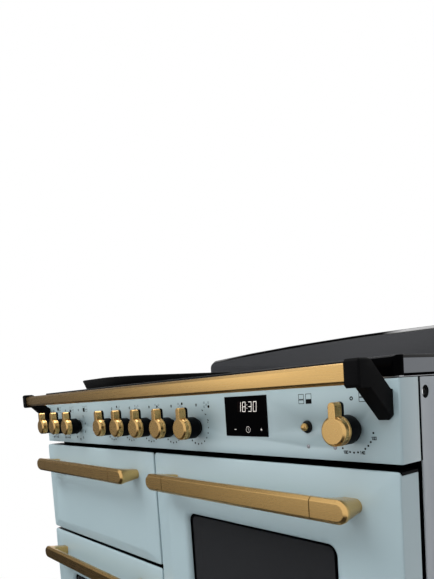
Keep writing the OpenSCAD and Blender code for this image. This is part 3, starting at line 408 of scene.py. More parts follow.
for side, label in ((-1, "left"), (1, "right")):
    rings = [[round_plug(side, a, [step])[0] for a in whole_turn] for step in hole_at]
    rim = skin("hole_rim_" + label, rings, plug_black, toward=(side, 0, 0))
    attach(rim, "cooker")
    rings = [[round_plug(side, a, [step])[0] for a in whole_turn] for step in dish_at]
    dish = skin("dish", rings, plug_black, toward=(side, 0, 0))
    crescent = []
    for a in crescent_turn:
        share = (a - crescent_turn[0]) / (crescent_turn[-1] - crescent_turn[0])
        wide = crescent_w * math.sin(share * math.pi)
        crescent.append(round_plug(side, a, [(2.62, 4.5), (2.3, 4.3), (2.3, 4.1 - wide), (2.62, 3.9 - wide)]))
    glint = skin("plug_glint_" + label, crescent, plug_glint)
    stand_for(joined("side_plug_" + label, [dish, glint]), ["side_plugs"], "cooker")

    # black strips fill the shadow gaps behind the panel's end and above and below the tray's folded edge: painted
    # shade
    for number, (x0, y0, y1, z0, z1) in enumerate((
            (545.8, 41.5, 46.4, 788, 892), (544.6, 3, 588, 891.7, 893.0), (545.3, 12, 588, 893.7, 897.0))):
        shadow_strip_corners = [[(side * x, y, z) for y, z in ((y0, z0), (y1, z0), (y1, z1), (y0, z1))] for x in (x0, x0 - 1.5)]
        strip = skin("painted_shadow_strip_%s_%d" % (label, number), shadow_strip_corners, black_frame, ends=(True, True))
        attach(strip, "cooker")

# Hob: one black glass over a brushed steel band, on a folded tray that carries the wound coils.
# The strip across the front is high-gloss black, with a painted highlight along its top edge; fine grey rings mark the
# zones on the glass.
hob_steel = surface("brushed_hob_steel", tone(98, 101, 105), tone(118, 121, 125), grain=(300, 3, 300), scale=8,
                    metallic=1.0, rough=(0.28, 0.4), bump=0.1, bump_scale=60)
black_gloss = surface("black_gloss_glass", tone(4, 4, 5), tone(7, 7, 8), scale=5, rough=(0.05, 0.08), specular=0.25)
trim_gloss = surface("black_gloss_trim", tone(2, 2, 3), tone(4, 4, 5), scale=5, rough=(0.12, 0.2), specular=0.01)
# a lighter, part-metal finish for the trim's top rounded edge: a painted highlight
trim_bevel_highlight = surface("painted_highlight_on_trim_bevel", tone(27, 28, 30), tone(37, 38, 40), scale=5, rough=(0.16, 0.22),
                    metallic=0.6)
copper_wire = surface("copper_winding", tone(150, 84, 52), tone(196, 118, 76), scale=200, metallic=1.0,
                      rough=(0.35, 0.5), bump=0.4, bump_scale=900)
zone_ink = surface("zone_print", tone(96, 98, 100), tone(112, 114, 116), scale=200, rough=(0.4, 0.5))
eased("hob_frame", hob_steel, "cooker", width=0.5)
front_trim = eased("hob_front_trim", trim_gloss, "cooker", width=1.8, segments=3)
front_trim.data.materials.append(trim_bevel_highlight)
# the top edge's faces take the painted highlight
for face in front_trim.data.polygons:
    if 0.2 < face.normal.z < 0.95 and face.normal.y < 0.2:
        face.material_index = 1
eased("hob_glass", black_gloss, "cooker", width=0.5)
dress("coil_tray", galvanised)
dress("induction_coils", copper_wire)

hob_top, print_rise, ring_w, cross_arm, cross_half = 919.5, 0.04, 1.2, 14, 0.6
zones = [(-395, 150, 90), (-395, 390, 90), (0, 285, 120), (395, 150, 90), (395, 400, 75)]
printed = []
for number, (zx, zy, zr) in enumerate(zones):
    around = [2 * math.pi * k / 96 for k in range(96)]
    rings = [[(zx + r * math.cos(a), zy + r * math.sin(a), hob_top + lift) for a in around]
             for r, lift in ((zr, 0.0), (zr, print_rise), (zr - ring_w, print_rise), (zr - ring_w, 0.0))]
    printed.append(skin("zone_ring_%d" % number, rings, zone_ink, toward=(0, 0, 1)))
    for dx, dy in ((cross_arm, 0), (0, cross_arm)):
        w, d = (dx or cross_half), (dy or cross_half)
        cross = [[(zx + sx * w, zy + sy * d, hob_top + lift) for sx, sy in ((-1, -1), (1, -1), (1, 1), (-1, 1))]
                 for lift in (0.0, print_rise)]
        printed.append(skin("zone_cross_%d_%d" % (number, dx), cross, zone_ink, ends=(False, True), toward=(0, 0, 1)))
zone_print = joined("zone_print", printed)
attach(zone_print, "cooker")

# Upstand: one folded, enamelled pressing with an arched top.
# The bevel along its front edge is painted near-black, a painted dark reflection, and is glossy enough to mirror the
# ceiling card.
charcoal = surface("charcoal_enamel", tone(45, 46, 49), tone(52, 53, 56), scale=6, rough=(0.34, 0.42), coat=0.1,
                   coat_rough=0.2, bump=0.08, bump_scale=600, specular=0.3)
bevel_painted_dark_reflection = surface("bevel_painted_dark_reflection", tone(2, 2, 3), tone(4, 4, 5), scale=6, rough=(0.04, 0.06))
upstand = eased("rear_upstand", charcoal, "cooker", width=1.0, angle=20)
upstand.data.materials.append(bevel_painted_dark_reflection)
bevel_from = 0.96        # metres; the bevel stands above this height
back_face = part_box("rear_upstand")[1][1]
for vertex in upstand.data.vertices:
    vertex.co.y = min(vertex.co.y, back_face)
for face in upstand.data.polygons:
    # the bevel's faces get the near-black finish: a painted dark reflection
    if face.normal.y < -0.2 and face.normal.z > 0.3 and face.center.z > bevel_from:
        face.material_index = 1

# Griddle: a cast plate with flared sides and a matt non-stick coat.
# It lies loose over the two zones on the left and lifts off.
non_stick = surface("non_stick_coat", tone(10, 10, 11), tone(18, 18, 19), scale=500, rough=(0.45, 0.6), bump=0.35,
                    bump_scale=1800, specular=0.2)
eased("griddle", non_stick, "lift_griddle", width=1.5, angle=30, segments=3)

# Control panel: one enamelled pressing with folded edges.
# The marks are baked on: dial dots, numbers and plain pictograms of the cooking spaces.
enamel = surface("pale_blue_enamel", tone(163, 184, 190), tone(167, 188, 194), scale=3.5, rough=(0.34, 0.4),
                 coat=0.6, coat_rough=0.3, bump=0.03, bump_scale=260)
ink = surface("baked_black_ink", tone(4, 5, 6), tone(10, 11, 12), scale=300, rough=(0.5, 0.6), specular=0.1)
fold_r = 0.0034          # metres, at the two front corners
folded = clean_copy("control_panel")
folds = [e for e in folded.edges if e.calc_length() > 0.06 and len(e.link_faces) == 2
         and min(f.normal.y for f in e.link_faces) < -0.9 and max(abs(f.normal.x) for f in e.link_faces) > 0.9
         and min(abs(v.co.x) for v in e.verts) > 0.545]
bmesh.ops.bevel(folded, geom=folds, offset=fold_r, segments=5, profile=0.5, affect="EDGES")
folded_mesh = bpy.data.meshes.new("control_panel_folded")
folded.to_mesh(folded_mesh)
folded.free()
folded_mesh.materials.append(enamel)
panel = link_object("control_panel_folded", folded_mesh)
bevelled(panel, 0.8, 32, 2)
stand_for(panel, ["control_panel"], "cooker")
dress("control_switches", black_plastic)

flat_pieces = {"ink": [], "light": [], "ghost": []}
MARK_Y = {"ink": -0.05, "light": -0.66, "ghost": -0.66}      # the front face of each kind of mark
PRINT_DEPTH = 0.05


def bar_mark(kind, x0, z0, x1, z1, thick):
    """A printed stroke from one point to another."""
    along = Vector((x1 - x0, z1 - z0))
    reach = max(along.length, 1e-6)
    ax, az = along.x / reach, along.y / reach
    h = thick / 2
    flat_pieces[kind].append([
        (x0 - ax * h - az * h, z0 - az * h + ax * h), (x0 - ax * h + az * h, z0 - az * h - ax * h),
        (x1 + ax * h + az * h, z1 + az * h - ax * h), (x1 + ax * h - az * h, z1 + az * h + ax * h)
    ])


def line_mark(kind, points, thick):
    for (x0, z0), (x1, z1) in zip(points, points[1:]):
        bar_mark(kind, x0, z0, x1, z1, thick)


def circle(x, z, r, steps):
    """Points round a circle, with the first one again at the end."""
    return [(x + r * math.cos(2 * math.pi * k / steps), z + r * math.sin(2 * math.pi * k / steps))
            for k in range(steps + 1)]


def dot_mark(kind, x, z, r):
    flat_pieces[kind].append(circle(x, z, r, 12)[:-1])


def ring_mark(kind, x, z, r, thick, steps=20):
    line_mark(kind, circle(x, z, r, steps), thick)


DIGITS = {
    "0": [[(0, 0), (1, 0), (1, 2), (0, 2), (0, 0)]], "1": [[(0.2, 1.6), (0.6, 2), (0.6, 0)]],
    "2": [[(0, 2), (1, 2), (1, 1), (0, 1), (0, 0), (1, 0)]], "4": [[(0.8, 0), (0.8, 2), (0, 0.7), (1, 0.7)]],
    "6": [[(1, 2), (0, 2), (0, 0), (1, 0), (1, 1), (0, 1)]],
    "8": [[(0, 0), (1, 0), (1, 2), (0, 2), (0, 0)], [(0, 1), (1, 1)]]
}


def number_mark(text, cx, cz, height, thick):
    """Digits centred on a point."""
    step = height * 0.72
    x = cx - (len(text) - 1) * step / 2 - height / 4
    for digit in text:
        for stroke in DIGITS[digit]:
            points = [(x + px * height / 2, cz - height / 2 + pz * height / 2) for px, pz in stroke]
            line_mark("ink", points, thick)
        x += step


def on_dial(cx, cz, r, degrees):
    """The point at an angle, clockwise from the top of a dial."""
    a = math.radians(degrees)
    return cx + r * math.sin(a), cz + r * math.cos(a)


knob_z, mark_z = 831, 870
knob_x = [-493.8, -416.5, -339.2, -166.2, -88.2, -10.2, 67.8, 145.8, 476.5]
heat_dials, timer_dial, hob_dials = (0, 1, 8), 2, (3, 4, 5, 6, 7)
HEAT_FROM, HEAT_STEP = 99.5, 11.4      # degrees to the first mark, and from mark to mark

# temperature dials: a number at every fourth mark, and a ring above for off
for dial in heat_dials:
    cx = knob_x[dial]
    for mark in (1, 5, 9, 13):
        a = HEAT_FROM + mark * HEAT_STEP
        number_mark(str(90 + 10 * mark), *on_dial(cx, knob_z, 33.4, a), 3.5, 0.85)
    ring_mark("ink", cx, mark_z, 1.9, 1.4)

# hob dials: keep-warm marks on the right, a ring above for off, and the zone's place beside it
for number, dial in enumerate(hob_dials):
    cx = knob_x[dial]
    for a in (31, 50, 70):
        x, z = on_dial(cx, knob_z + 1, 33, a)
        line_mark("ink", [(x - 1.6, z + 1), (x - 0.4, z - 0.6), (x + 0.5, z + 0.6), (x + 1.7, z - 1)], 1.1)
    ring_mark("ink", cx, mark_z, 1.9, 1.4)
    for zone, (px, pz) in enumerate(((-6, 3.4), (-6, -3.4), (0, 0), (6, 3.4), (6, -3.4))):
        if zone == number:
            dot_mark("ink", cx + 29 + px, mark_z + pz, 2.7)
        else:
            ring_mark("ink", cx + 29 + px, mark_z + pz, 1.7, 0.5, steps=12)

# the timer's dial: numbers from two to twelve, and an arc below the middle knob
ring_mark("ink", knob_x[timer_dial], mark_z, 1.9, 1.4)
for a, text in ((46, "2"), (80, "4"), (115, "6"), (150, "8"), (180, "10"), (212, "12")):
    number_mark(text, *on_dial(knob_x[timer_dial], knob_z, 33.5, a), 4.4, 1.2)
line_mark("ink", [on_dial(knob_x[1], knob_z, 30.5, 165 + k * 5) for k in range(7)], 0.9)

# pictograms: two stacked spaces beside two more, with the one meant filled in (the last has none)
for cx, filled, thick in ((-457, 0, 0.5), (-380, 1, 0.5), (-301.5, 2, 0.5), (398.7, 3, 0.8), (500, 4, 0.8)):
    spaces = [(cx - 11.6, 871.6, cx - 2.4, 878.6), (cx - 11.6, 865.5, cx - 2.4, 870.6),
              (cx - 11.6, 865.5, cx - 2.4, 874.5), (cx + 1.6, 865.5, cx + 11.4, 870.4)]
    for x0, z0, x1, z1 in (spaces[1], spaces[0], (cx + 1.6, 871.2, cx + 11.4, 878.8), spaces[3]):
        line_mark("ink", [(x0, z0), (x1, z0), (x1, z1), (x0, z1), (x0, z0)], thick)
    if filled < len(spaces):
        x0, z0, x1, z1 = (edge + grow for edge, grow in zip(spaces[filled], (-0.4, -0.4, 0.4, 0.4)))
        flat_pieces["ink"].append([(x0, z0), (x1, z0), (x1, z1), (x0, z1)])

# Display: a black glass pane in the control panel, with a lit clock and three touch marks.
# The segments of its digits that aren't lit show faintly.
display_glass = surface("display_glass", tone(2, 2, 3), tone(4, 4, 5), scale=5, rough=(0.06, 0.1), specular=0.01)
dress("display_module", display_glass)
lit = bpy.data.materials.new("lit_segments")
lit.use_nodes = True
lit_shader = lit.node_tree.nodes["Principled BSDF"]
lit_shader.inputs["Base Color"].default_value = tone(196, 193, 190)
lit_shader.inputs["Roughness"].default_value = 0.5
lit_shader.inputs["Emission Color"].default_value = tone(240, 236, 230)
lit_shader.inputs["Emission Strength"].default_value = 1.1
digit_z, digit_h, stroke_w, slant = 856.5, 15, 0.65, 0.08


def segment_digit(segments, x, w=6.4, kind="light"):
    """A seven-segment digit, each segment a slim stroke with gaps at the corners."""
    h, g = digit_h, stroke_w * 0.55
    ends = {
        "a": ((0, h), (w, h)), "b": ((w, h), (w, h / 2)), "c": ((w, h / 2), (w, 0)), "d": ((0, 0), (w, 0)),
        "e": ((0, 0), (0, h / 2)), "f": ((0, h / 2), (0, h)), "g": ((0, h / 2), (w, h / 2))
    }
    for name in segments:
        (x0, z0), (x1, z1) = ends[name]
        long = max(abs(x1 - x0), abs(z1 - z0))
        ux, uz = (x1 - x0) / long, (z1 - z0) / long
        x0, z0, x1, z1 = x0 + ux * g, z0 + uz * g, x1 - ux * g, z1 - uz * g
        bar_mark(kind, x + x0 + slant * z0, digit_z + z0, x + x1 + slant * z1, digit_z + z1, stroke_w)


segment_digit("bc", 257.0)
segment_digit("adefg", 257.0, kind="ghost")
segment_digit("abcdefg", 268.0)
segment_digit("abcdg", 281.8)
segment_digit("abcdef", 292.8, 6.6)
for z in (861.5, 867):
    dot_mark("light", 278.9, z, 0.5)
bar_mark("light", 246.6, 827.8, 250.4, 827.8, 0.5)
bar_mark("light", 306.6, 828, 310.4, 828, 0.4)
bar_mark("light", 308.5, 826.1, 308.5, 829.9, 0.4)
ring_mark("light", 278.6, 828, 4.8, 0.24, steps=28)
line_mark("light", [(278.6, 831.0), (278.6, 828), (280.4, 826.9)], 0.22)


def printed_mesh(name, kind, paint):
    """All the marks of one kind as thin plates."""
    shape = bmesh.new()
    for corners in flat_pieces[kind]:
        back = [shape.verts.new(place(x, MARK_Y[kind] + PRINT_DEPTH, z)) for x, z in corners]
        front = [shape.verts.new(place(x, MARK_Y[kind], z)) for x, z in corners]
        shape.faces.new(front)
        count = len(corners)
        for k in range(count):
            shape.faces.new((front[k], back[k], back[(k + 1) % count], front[(k + 1) % count]))
    bmesh.ops.recalc_face_normals(shape, faces=shape.faces)
    for face in shape.faces:
        if face.normal.y > 0.9:
            face.normal_flip()
    mesh = bpy.data.meshes.new(name)
    shape.to_mesh(mesh)
    shape.free()
    mesh.materials.append(paint)
    made = link_object(name, mesh)
    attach(made, "cooker")
    return made


printed_mesh("panel_print", "ink", ink)


def dot_ring_tree(paint):
    """Node tree: a ring of printed dots round each of the points it is given.

    The second dot of every so many is left out; one leaves out none.
    """
    tree = bpy.data.node_groups.new("dial_dots", "GeometryNodeTree")
    for label, kind in (("Centres", "Geometry"), ("Count", "Int"), ("Ring radius", "Float"), ("First angle", "Float"),
                        ("Angle step", "Float"), ("Dot radius", "Float"), ("Radius step", "Float"),
                        ("Left out of every", "Int"), ("Ink depth", "Float")):
        tree.interface.new_socket(label, in_out="INPUT", socket_type="NodeSocket" + kind)
    tree.interface.new_socket("Dots", in_out="OUTPUT", socket_type="NodeSocketGeometry")
    given = tree.nodes.new("NodeGroupInput").outputs

    def maths(operation, first, second=0.0, third=0.0):
        return add_node(tree, "ShaderNodeMath", {0: first, 1: second, 2: third}, operation=operation).outputs[0]

    index = add_node(tree, "GeometryNodeInputIndex").outputs[0]
    angle = maths("MULTIPLY_ADD", index, given["Angle step"], given["First angle"])
    spot = add_node(tree, "ShaderNodeCombineXYZ", {
        "X": maths("MULTIPLY", maths("SINE", angle), given["Ring radius"]),
        "Z": maths("MULTIPLY", maths("COSINE", angle), given["Ring radius"])})
    points = add_node(tree, "GeometryNodePoints", {"Count": given["Count"], "Position": spot.outputs[0]})
    disc = add_node(tree, "GeometryNodeMeshCylinder", {"Vertices": 12, "Radius": 1.0, "Depth": given["Ink depth"]})
    upright = add_node(tree, "GeometryNodeTransform", {
        "Geometry": disc.outputs["Mesh"], "Rotation": (math.pi / 2, 0, 0)})
    size = maths("MULTIPLY_ADD", index, given["Radius step"], given["Dot radius"])
    shape = add_node(tree, "ShaderNodeCombineXYZ", {"X": size, "Y": 1.0, "Z": size})
    turn = maths("MODULO", index, given["Left out of every"])
    dots = add_node(tree, "GeometryNodeInstanceOnPoints", {
        "Points": points.outputs[0], "Instance": upright.outputs[0], "Scale": shape.outputs[0],
        "Selection": maths("SUBTRACT", 1.0, maths("COMPARE", turn, 1.0, 0.5))})
    rings = add_node(tree, "GeometryNodeInstanceOnPoints", {"Points": given["Centres"], "Instance": dots.outputs[0]})
    real = add_node(tree, "GeometryNodeRealizeInstances", {0: rings.outputs[0]})
    painted = add_node(tree, "GeometryNodeSetMaterial", {"Geometry": real.outputs[0], "Material": paint})
    add_node(tree, "NodeGroupOutput", {"Dots": painted.outputs[0]})
    return tree


def dot_rings(name, tree, centres, values):
    """The tree's dots round the centres, as one plain mesh."""
    spots = bpy.data.meshes.new(name + "_centres")
    middle_y = MARK_Y["ink"] + values["Ink depth"] / MM / 2
    spots.from_pydata([place(x, middle_y, z) for x, z in centres], [], [])
    carrier = link_object(name + "_carrier", spots)
    maker = carrier.modifiers.new("dots", "NODES")
    maker.node_group = tree
    for socket in tree.interface.items_tree:
        if socket.name in values and socket.in_out == "INPUT":
            maker[socket.identifier] = values[socket.name]
    graph = bpy.context.evaluated_depsgraph_get()
    mesh = bpy.data.meshes.new_from_object(carrier.evaluated_get(graph))
    mesh.name = name
    carrier.modifiers.remove(maker)
    bpy.data.objects.remove(carrier)
    made = link_object(name, mesh)
    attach(made, "cooker")


# the temperature dials leave out each fourth dot, where a number stands; the hob's dots shrink step by step
dots_of = dot_ring_tree(ink)
dot_rings("temperature_dots", dots_of, [(knob_x[k], knob_z) for k in heat_dials], {
    "Count": 17, "Ring radius": 0.0311, "First angle": math.radians(HEAT_FROM),
    "Angle step": math.radians(HEAT_STEP), "Dot radius": 0.00145, "Radius step": 0.0, "Left out of every": 4,
    "Ink depth": 0.00005})
dot_rings("power_dots", dots_of, [(knob_x[k], knob_z + 1) for k in hob_dials], {
    "Count": 9, "Ring radius": 0.0313, "First angle": math.radians(216), "Angle step": math.radians(-17.5),
    "Dot radius": 0.0019, "Radius step": -0.00009, "Left out of every": 1, "Ink depth": 0.00005})
printed_mesh("display_light", "light", lit)
unlit = surface("unlit_segments", tone(30, 18, 18), tone(38, 24, 23), scale=300, rough=(0.4, 0.5), specular=0.02)
printed_mesh("display_unlit", "ghost", unlit)

# Indicator lenses: small domed discs in bright rims, unlit.
# They are moulded, and pushed into the control panel from the front.
lens = surface("indicator_lens", tone(150, 150, 155), tone(166, 165, 170), scale=300, rough=(0.2, 0.3), coat=0.3)
lens_collar = surface("indicator_collar", tone(92, 88, 94), tone(104, 100, 106), scale=300, rough=(0.3, 0.4))
lamp_x, lamp_z = (400.5, 447), 805.2
domes = [
    turned("lens_%d" % k, x, lamp_z, [(0.6, 2.3), (-0.1, 2.3), (-0.35, 2.0), (-0.55, 1.3), (-0.6, 0.04)], lens, 24)
    for k, x in enumerate(lamp_x)
]
stand_for(joined("indicator_domes", domes), ["indicator_lenses"], "cooker")
rims = [
    turned("lens_rim_%d" % k, x, lamp_z, [(0.2, 2.9), (-0.25, 2.85), (-0.35, 2.6), (-0.2, 2.35), (0.2, 2.3)],
           lens_collar, 24) for k, x in enumerate(lamp_x)
]
rim = joined("indicator_rims", rims)
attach(rim, "cooker")

# Push button: a stepped brass dome in a black bezel.
# Its stem slides in the bezel and works the push switch behind the panel.
brass = surface("brushed_brass", tone(208, 170, 109), tone(214, 175, 113), grain=(4, 500, 500), scale=5,
                metallic=1.0, rough=(0.25, 0.31), bump=0.004, bump_scale=6)
knob_brass = surface("satin_brass", tone(209, 170, 109), tone(214, 175, 113), scale=300, metallic=1.0,
                     rough=(0.26, 0.31), bump=0.002, bump_scale=3000)
button_x, button_z = 400.5, 833
bezel = turned("bezel_ring", button_x, button_z, [
    (0.2, 9.0), (-0.6, 9.0), (-1.8, 8.6), (-2.5, 8.0), (-2.7, 7.4), (-4.1, 7.2), (-4.5, 6.9), (-4.5, 6.1), (-4.1, 5.8),
    (0.5, 5.7)
], black_plastic)
stand_for(bezel, ["button_bezel"], "cooker")
dome = turned("button_dome", button_x, button_z, [
    (2.8, 5.4), (-7.8, 5.4), (-8.3, 5.2), (-8.8, 4.7), (-9.2, 4.1), (-9.9, 3.7), (-10.9, 3.2), (-11.7, 2.4),
    (-12.2, 1.4), (-12.38, 0.04)
], knob_brass)
stem = turned("button_stem", button_x, button_z, [(2.8, 2.5), (16, 2.5)], knob_brass, 20)
stand_for(joined("button_cap", [dome, stem]), ["push_button"], "button")

# Knobs: a turned brass cap with a long lever flush with its face, on a black skirt.
# The spindle is moulded into the skirt and turns in the rotary switch behind the panel.
knob_bodies = ["grill_knob", "left_oven_knob", "left_timer_knob", "hob_knob_1", "hob_knob_2", "hob_knob_3",
               "hob_knob_4", "hob_knob_5", "right_oven_knob"]
skirt_black = surface("knob_skirt", tone(7, 8, 10), tone(11, 12, 14), scale=120, rough=(0.42, 0.5), bump=0.1,
                      bump_scale=1200, specular=0.04)
lever_r, lever_foot, lever_tip = 5.5, 14, 31      # foot and tip's centre stand above the knob's axis
cap_at = [
    (-41.97, 0.04), (-41.97, 15.6), (-41.97, 16.0), (-41.8, 16.35), (-41.6, 16.6), (-39.8, 18.6), (-39.4, 18.9),
    (-38.9, 19.05), (-38.4, 19.1), (-32.6, 19.1), (-32.2, 18.8), (-31.9, 18.8), (-31.6, 19.3), (-31.3, 19.5),
    (-28.4, 19.5), (-28.0, 19.2), (-28.0, 17.0)
]
lever_at = [(-42.0, 1.3), (-42.0, 0.8), (-41.9, 0.45), (-41.6, 0.12), (-41.2, 0), (-40.8, 0), (-28.3, 0), (-28.0, 0.3)]
skirt_at = [
    (-27.7, 12.0), (-27.7, 18.6), (-27.3, 19.0), (-9.6, 19.0), (-8.6, 18.7), (-5.5, 16.6), (-5.0, 15.6),
    (-5.0, 14.5), (-1.3, 14.5), (-1.0, 14.2), (-1.0, 3.0), (16.0, 3.0)
]
tail_at = [(-27.7, 0.3), (-27.4, 0), (-23.4, 0), (-23.0, 0.5)]


def lever_rings(cx, slices):
    """Outlines of the lever: straight flanks and a round tip, drawn in by each slice's own inset."""
    rings = []
    for y, inset in slices:
        r = lever_r - inset
        tip = [(cx + r * math.cos(math.pi * k / 14), y, knob_z + lever_tip + r * math.sin(math.pi * k / 14))
               for k in range(15)]
        rings.append([(cx + r, y, knob_z + lever_foot)] + tip + [(cx - r, y, knob_z + lever_foot)])
    return rings


for number, (cx, body) in enumerate(zip(knob_x, knob_bodies), 1):
    disc = turned("disc", cx, knob_z, cap_at, knob_brass, 56)
    lever = skin("lever", lever_rings(cx, lever_at), knob_brass, ends=(True, True))
    cap = joined("knob_cap_%d" % number, [disc, lever])
    stand_for(cap, ["knob_%d" % number], body)
    base = turned("base", cx, knob_z, skirt_at, skirt_black, 48)
    tail = skin("tail", lever_rings(cx, tail_at), skirt_black, ends=(True, True))
    skirt = joined("knob_skirt_%d" % number, [base, tail])
    stand_for(skirt, ["knob_%d" % number], body)

# Towel rail: a chamfered brass bar between two sloping black brackets.
# The brackets are coated castings, fixed at the two ends of the control panel.
eased("rail_bar", brass, "cooker", width=0.6, angle=30, segments=3)
bracket_black = surface("black_bracket_coat", tone(12, 12, 13), tone(16, 16, 17), scale=60, rough=(0.42, 0.52),
                        bump=0.1, bump_scale=1400, specular=0.02)
eased("rail_brackets", bracket_black, "cooker", width=2.2, angle=14, segments=3)

# Doors and drawer front: pressed, enamelled skins over black liners.
# A raised field rises from sloping borders at the sides and bottom and rolls over to a low crown at the top.
door_w = 542
border_side, border_bottom, crown_h = 44, 23, 50
edge_y, field_y = -4.0, -9.0
short_h, tall_h = 230, 405
window_half, window_foot, window_head, window_r = 175, 345, 103, 20      # foot and head below the door's top


def outline(x0, x1, z0, z1, r, corner=8, side=12):
    """A rounded rectangle seen from the front, with the same number of points whatever its size."""
    points = []
    for cx, cz, a0 in ((x1 - r, z0 + r, -90), (x1 - r, z1 - r, 0), (x0 + r, z1 - r, 90), (x0 + r, z0 + r, 180)):
        points.append([(cx + r * math.cos(math.radians(a0 + 90 * k / corner)),
                        cz + r * math.sin(math.radians(a0 + 90 * k / corner))) for k in range(corner + 1)])
    ring = []
    for k in range(4):
        ring += points[k]
        (ax, az), (bx, bz) = points[k][-1], points[(k + 1) % 4][0]
        ring += [(ax + (bx - ax) * t / side, az + (bz - az) * t / side) for t in range(1, side)]
    return ring


def window_outline(h, inset):
    """The window's edge in a door of height h, drawn in by the inset."""
    return outline(-window_half + inset, window_half - inset, h - window_foot + inset, h - window_head - inset,
                   window_r - inset)


def soft_ramp(t, e=0.11):
    """Rises from nought at t = 0 to one at t = 1, with its foot rounded."""
    if t <= -e:
        return 0.0
    return t if t >= e else (t + e) ** 2 / (4 * e)


def relief(x, z, h):
    """How far back the pressed surface lies at a point, x from the middle and z from the bottom edge."""
    side = soft_ramp((abs(x) - (door_w / 2 - border_side)) / border_side)
    foot = soft_ramp((border_bottom - z) / border_bottom, 0.16)
    crown = (max(0.0, z - (h - crown_h)) / crown_h) ** 2
    return field_y + (edge_y - field_y) * (side ** 4 + foot ** 4 + crown ** 4) ** 0.25


def door_front(name, node, cx, z0, h, body, window):
    """The pressed front, joined to the folded sides that stand behind it."""
    half = door_w / 2
    rings = []
    for theta in range(0, 91, 18):
        t = 2.0 * (1 - math.cos(math.radians(theta)))
        back = 2.0 * (1 - math.sin(math.radians(theta)))
        ring = outline(-half + t, half - t, t, h - t, 6 - t * 0.5)
        rings.append([(x, relief(x, z, h) + back, z) for x, z in ring])
    rings.insert(0, [(x, -0.3, z) for x, y, z in rings[0]])
    first = outline(-half + 2, half - 2, 2, h - 2, 5)
    if window:
        last = window_outline(h, -7)
        stops = [0.05, 0.12, 0.2, 0.27, 0.32, 0.36, 0.4, 0.43, 0.46, 0.49, 0.52, 0.56, 0.62, 0.7, 0.8, 0.9, 1.0]
    else:
        last = outline(-half + 62, half - 62, 42, h - 58, 16)
        stops = [0.1, 0.2, 0.3, 0.4, 0.48, 0.54, 0.58, 0.62, 0.66, 0.7, 0.74, 0.78, 0.83, 0.9, 1.0]
    for t in stops:
        mid = [(a + (c - a) * t, b + (d - b) * t) for (a, b), (c, d) in zip(first, last)]
        rings.append([(x, relief(x, z, h), z) for x, z in mid])
    if window:
        for a in range(15, 91, 15):
            inset, depth = 12 * math.sin(math.radians(a)) - 7, 9 * (1 - math.cos(math.radians(a)))
            rings.append([(x, min(-0.15, field_y + depth), z) for x, z in window_outline(h, inset)])
    rings = [[(x + cx, y, z + z0) for x, y, z in ring] for ring in rings]
    parts = []
    if window:
        print_edge = outline(-162.5, 162.5, h - 332.5, h - 112, 11)
        frit = [[(x + cx, -0.1, z + z0) for x, z in edge] for edge in (window_outline(h, 5), print_edge)]
        parts.append(skin(name + "_glass_print", frit, black_frame, toward=(0, -1, 0)))
    parts.append(skin(name + "_front", rings, enamel, ends=(False, not window), toward=(0, -1, 0)))
    shape = clean_copy(node)
    bmesh.ops.bisect_plane(shape, geom=shape.verts[:] + shape.edges[:] + shape.faces[:],
                           plane_co=(0, FRONT - 0.3 * MM, 0), plane_no=(0, 1, 0), clear_inner=True)
    mesh = bpy.data.meshes.new(name + "_folds")
    shape.to_mesh(mesh)
    shape.free()
    mesh.materials.clear()
    mesh.materials.append(enamel)
    smooth_by_angle(mesh, 35)
    folds = link_object(name + "_folds", mesh)
    return stand_for(joined(name, parts + [folds]), [node], body)


doors = [
    ("grill_door", -273.5, 549, short_h, "grill_door", False),
    ("left_door", -273.5, 136, tall_h, "left_oven_door", True),
    ("right_door", 273.5, 374, tall_h, "right_oven_door", True)
]
liner_black = surface("black_liner_enamel", tone(3, 3, 4), tone(6, 6, 7), scale=12, rough=(0.4, 0.5), bump=0.08,
                      bump_scale=500, specular=0.02)
for node, cx, z0, h, body, window in doors:
    door_front(node + "_pressing", node + "_skin", cx, z0, h, body, window)
    dress(node + "_liner", liner_black)
door_front("drawer_pressing", "drawer_front", 273.5, 136, short_h, "storage_drawer", False)
dress("drawer_box", galvanised)

# Handles: a brushed brass bar with a chamfered front between two end pieces that turn back to the door.
# Each joint between them is a fine gap over a dark core.


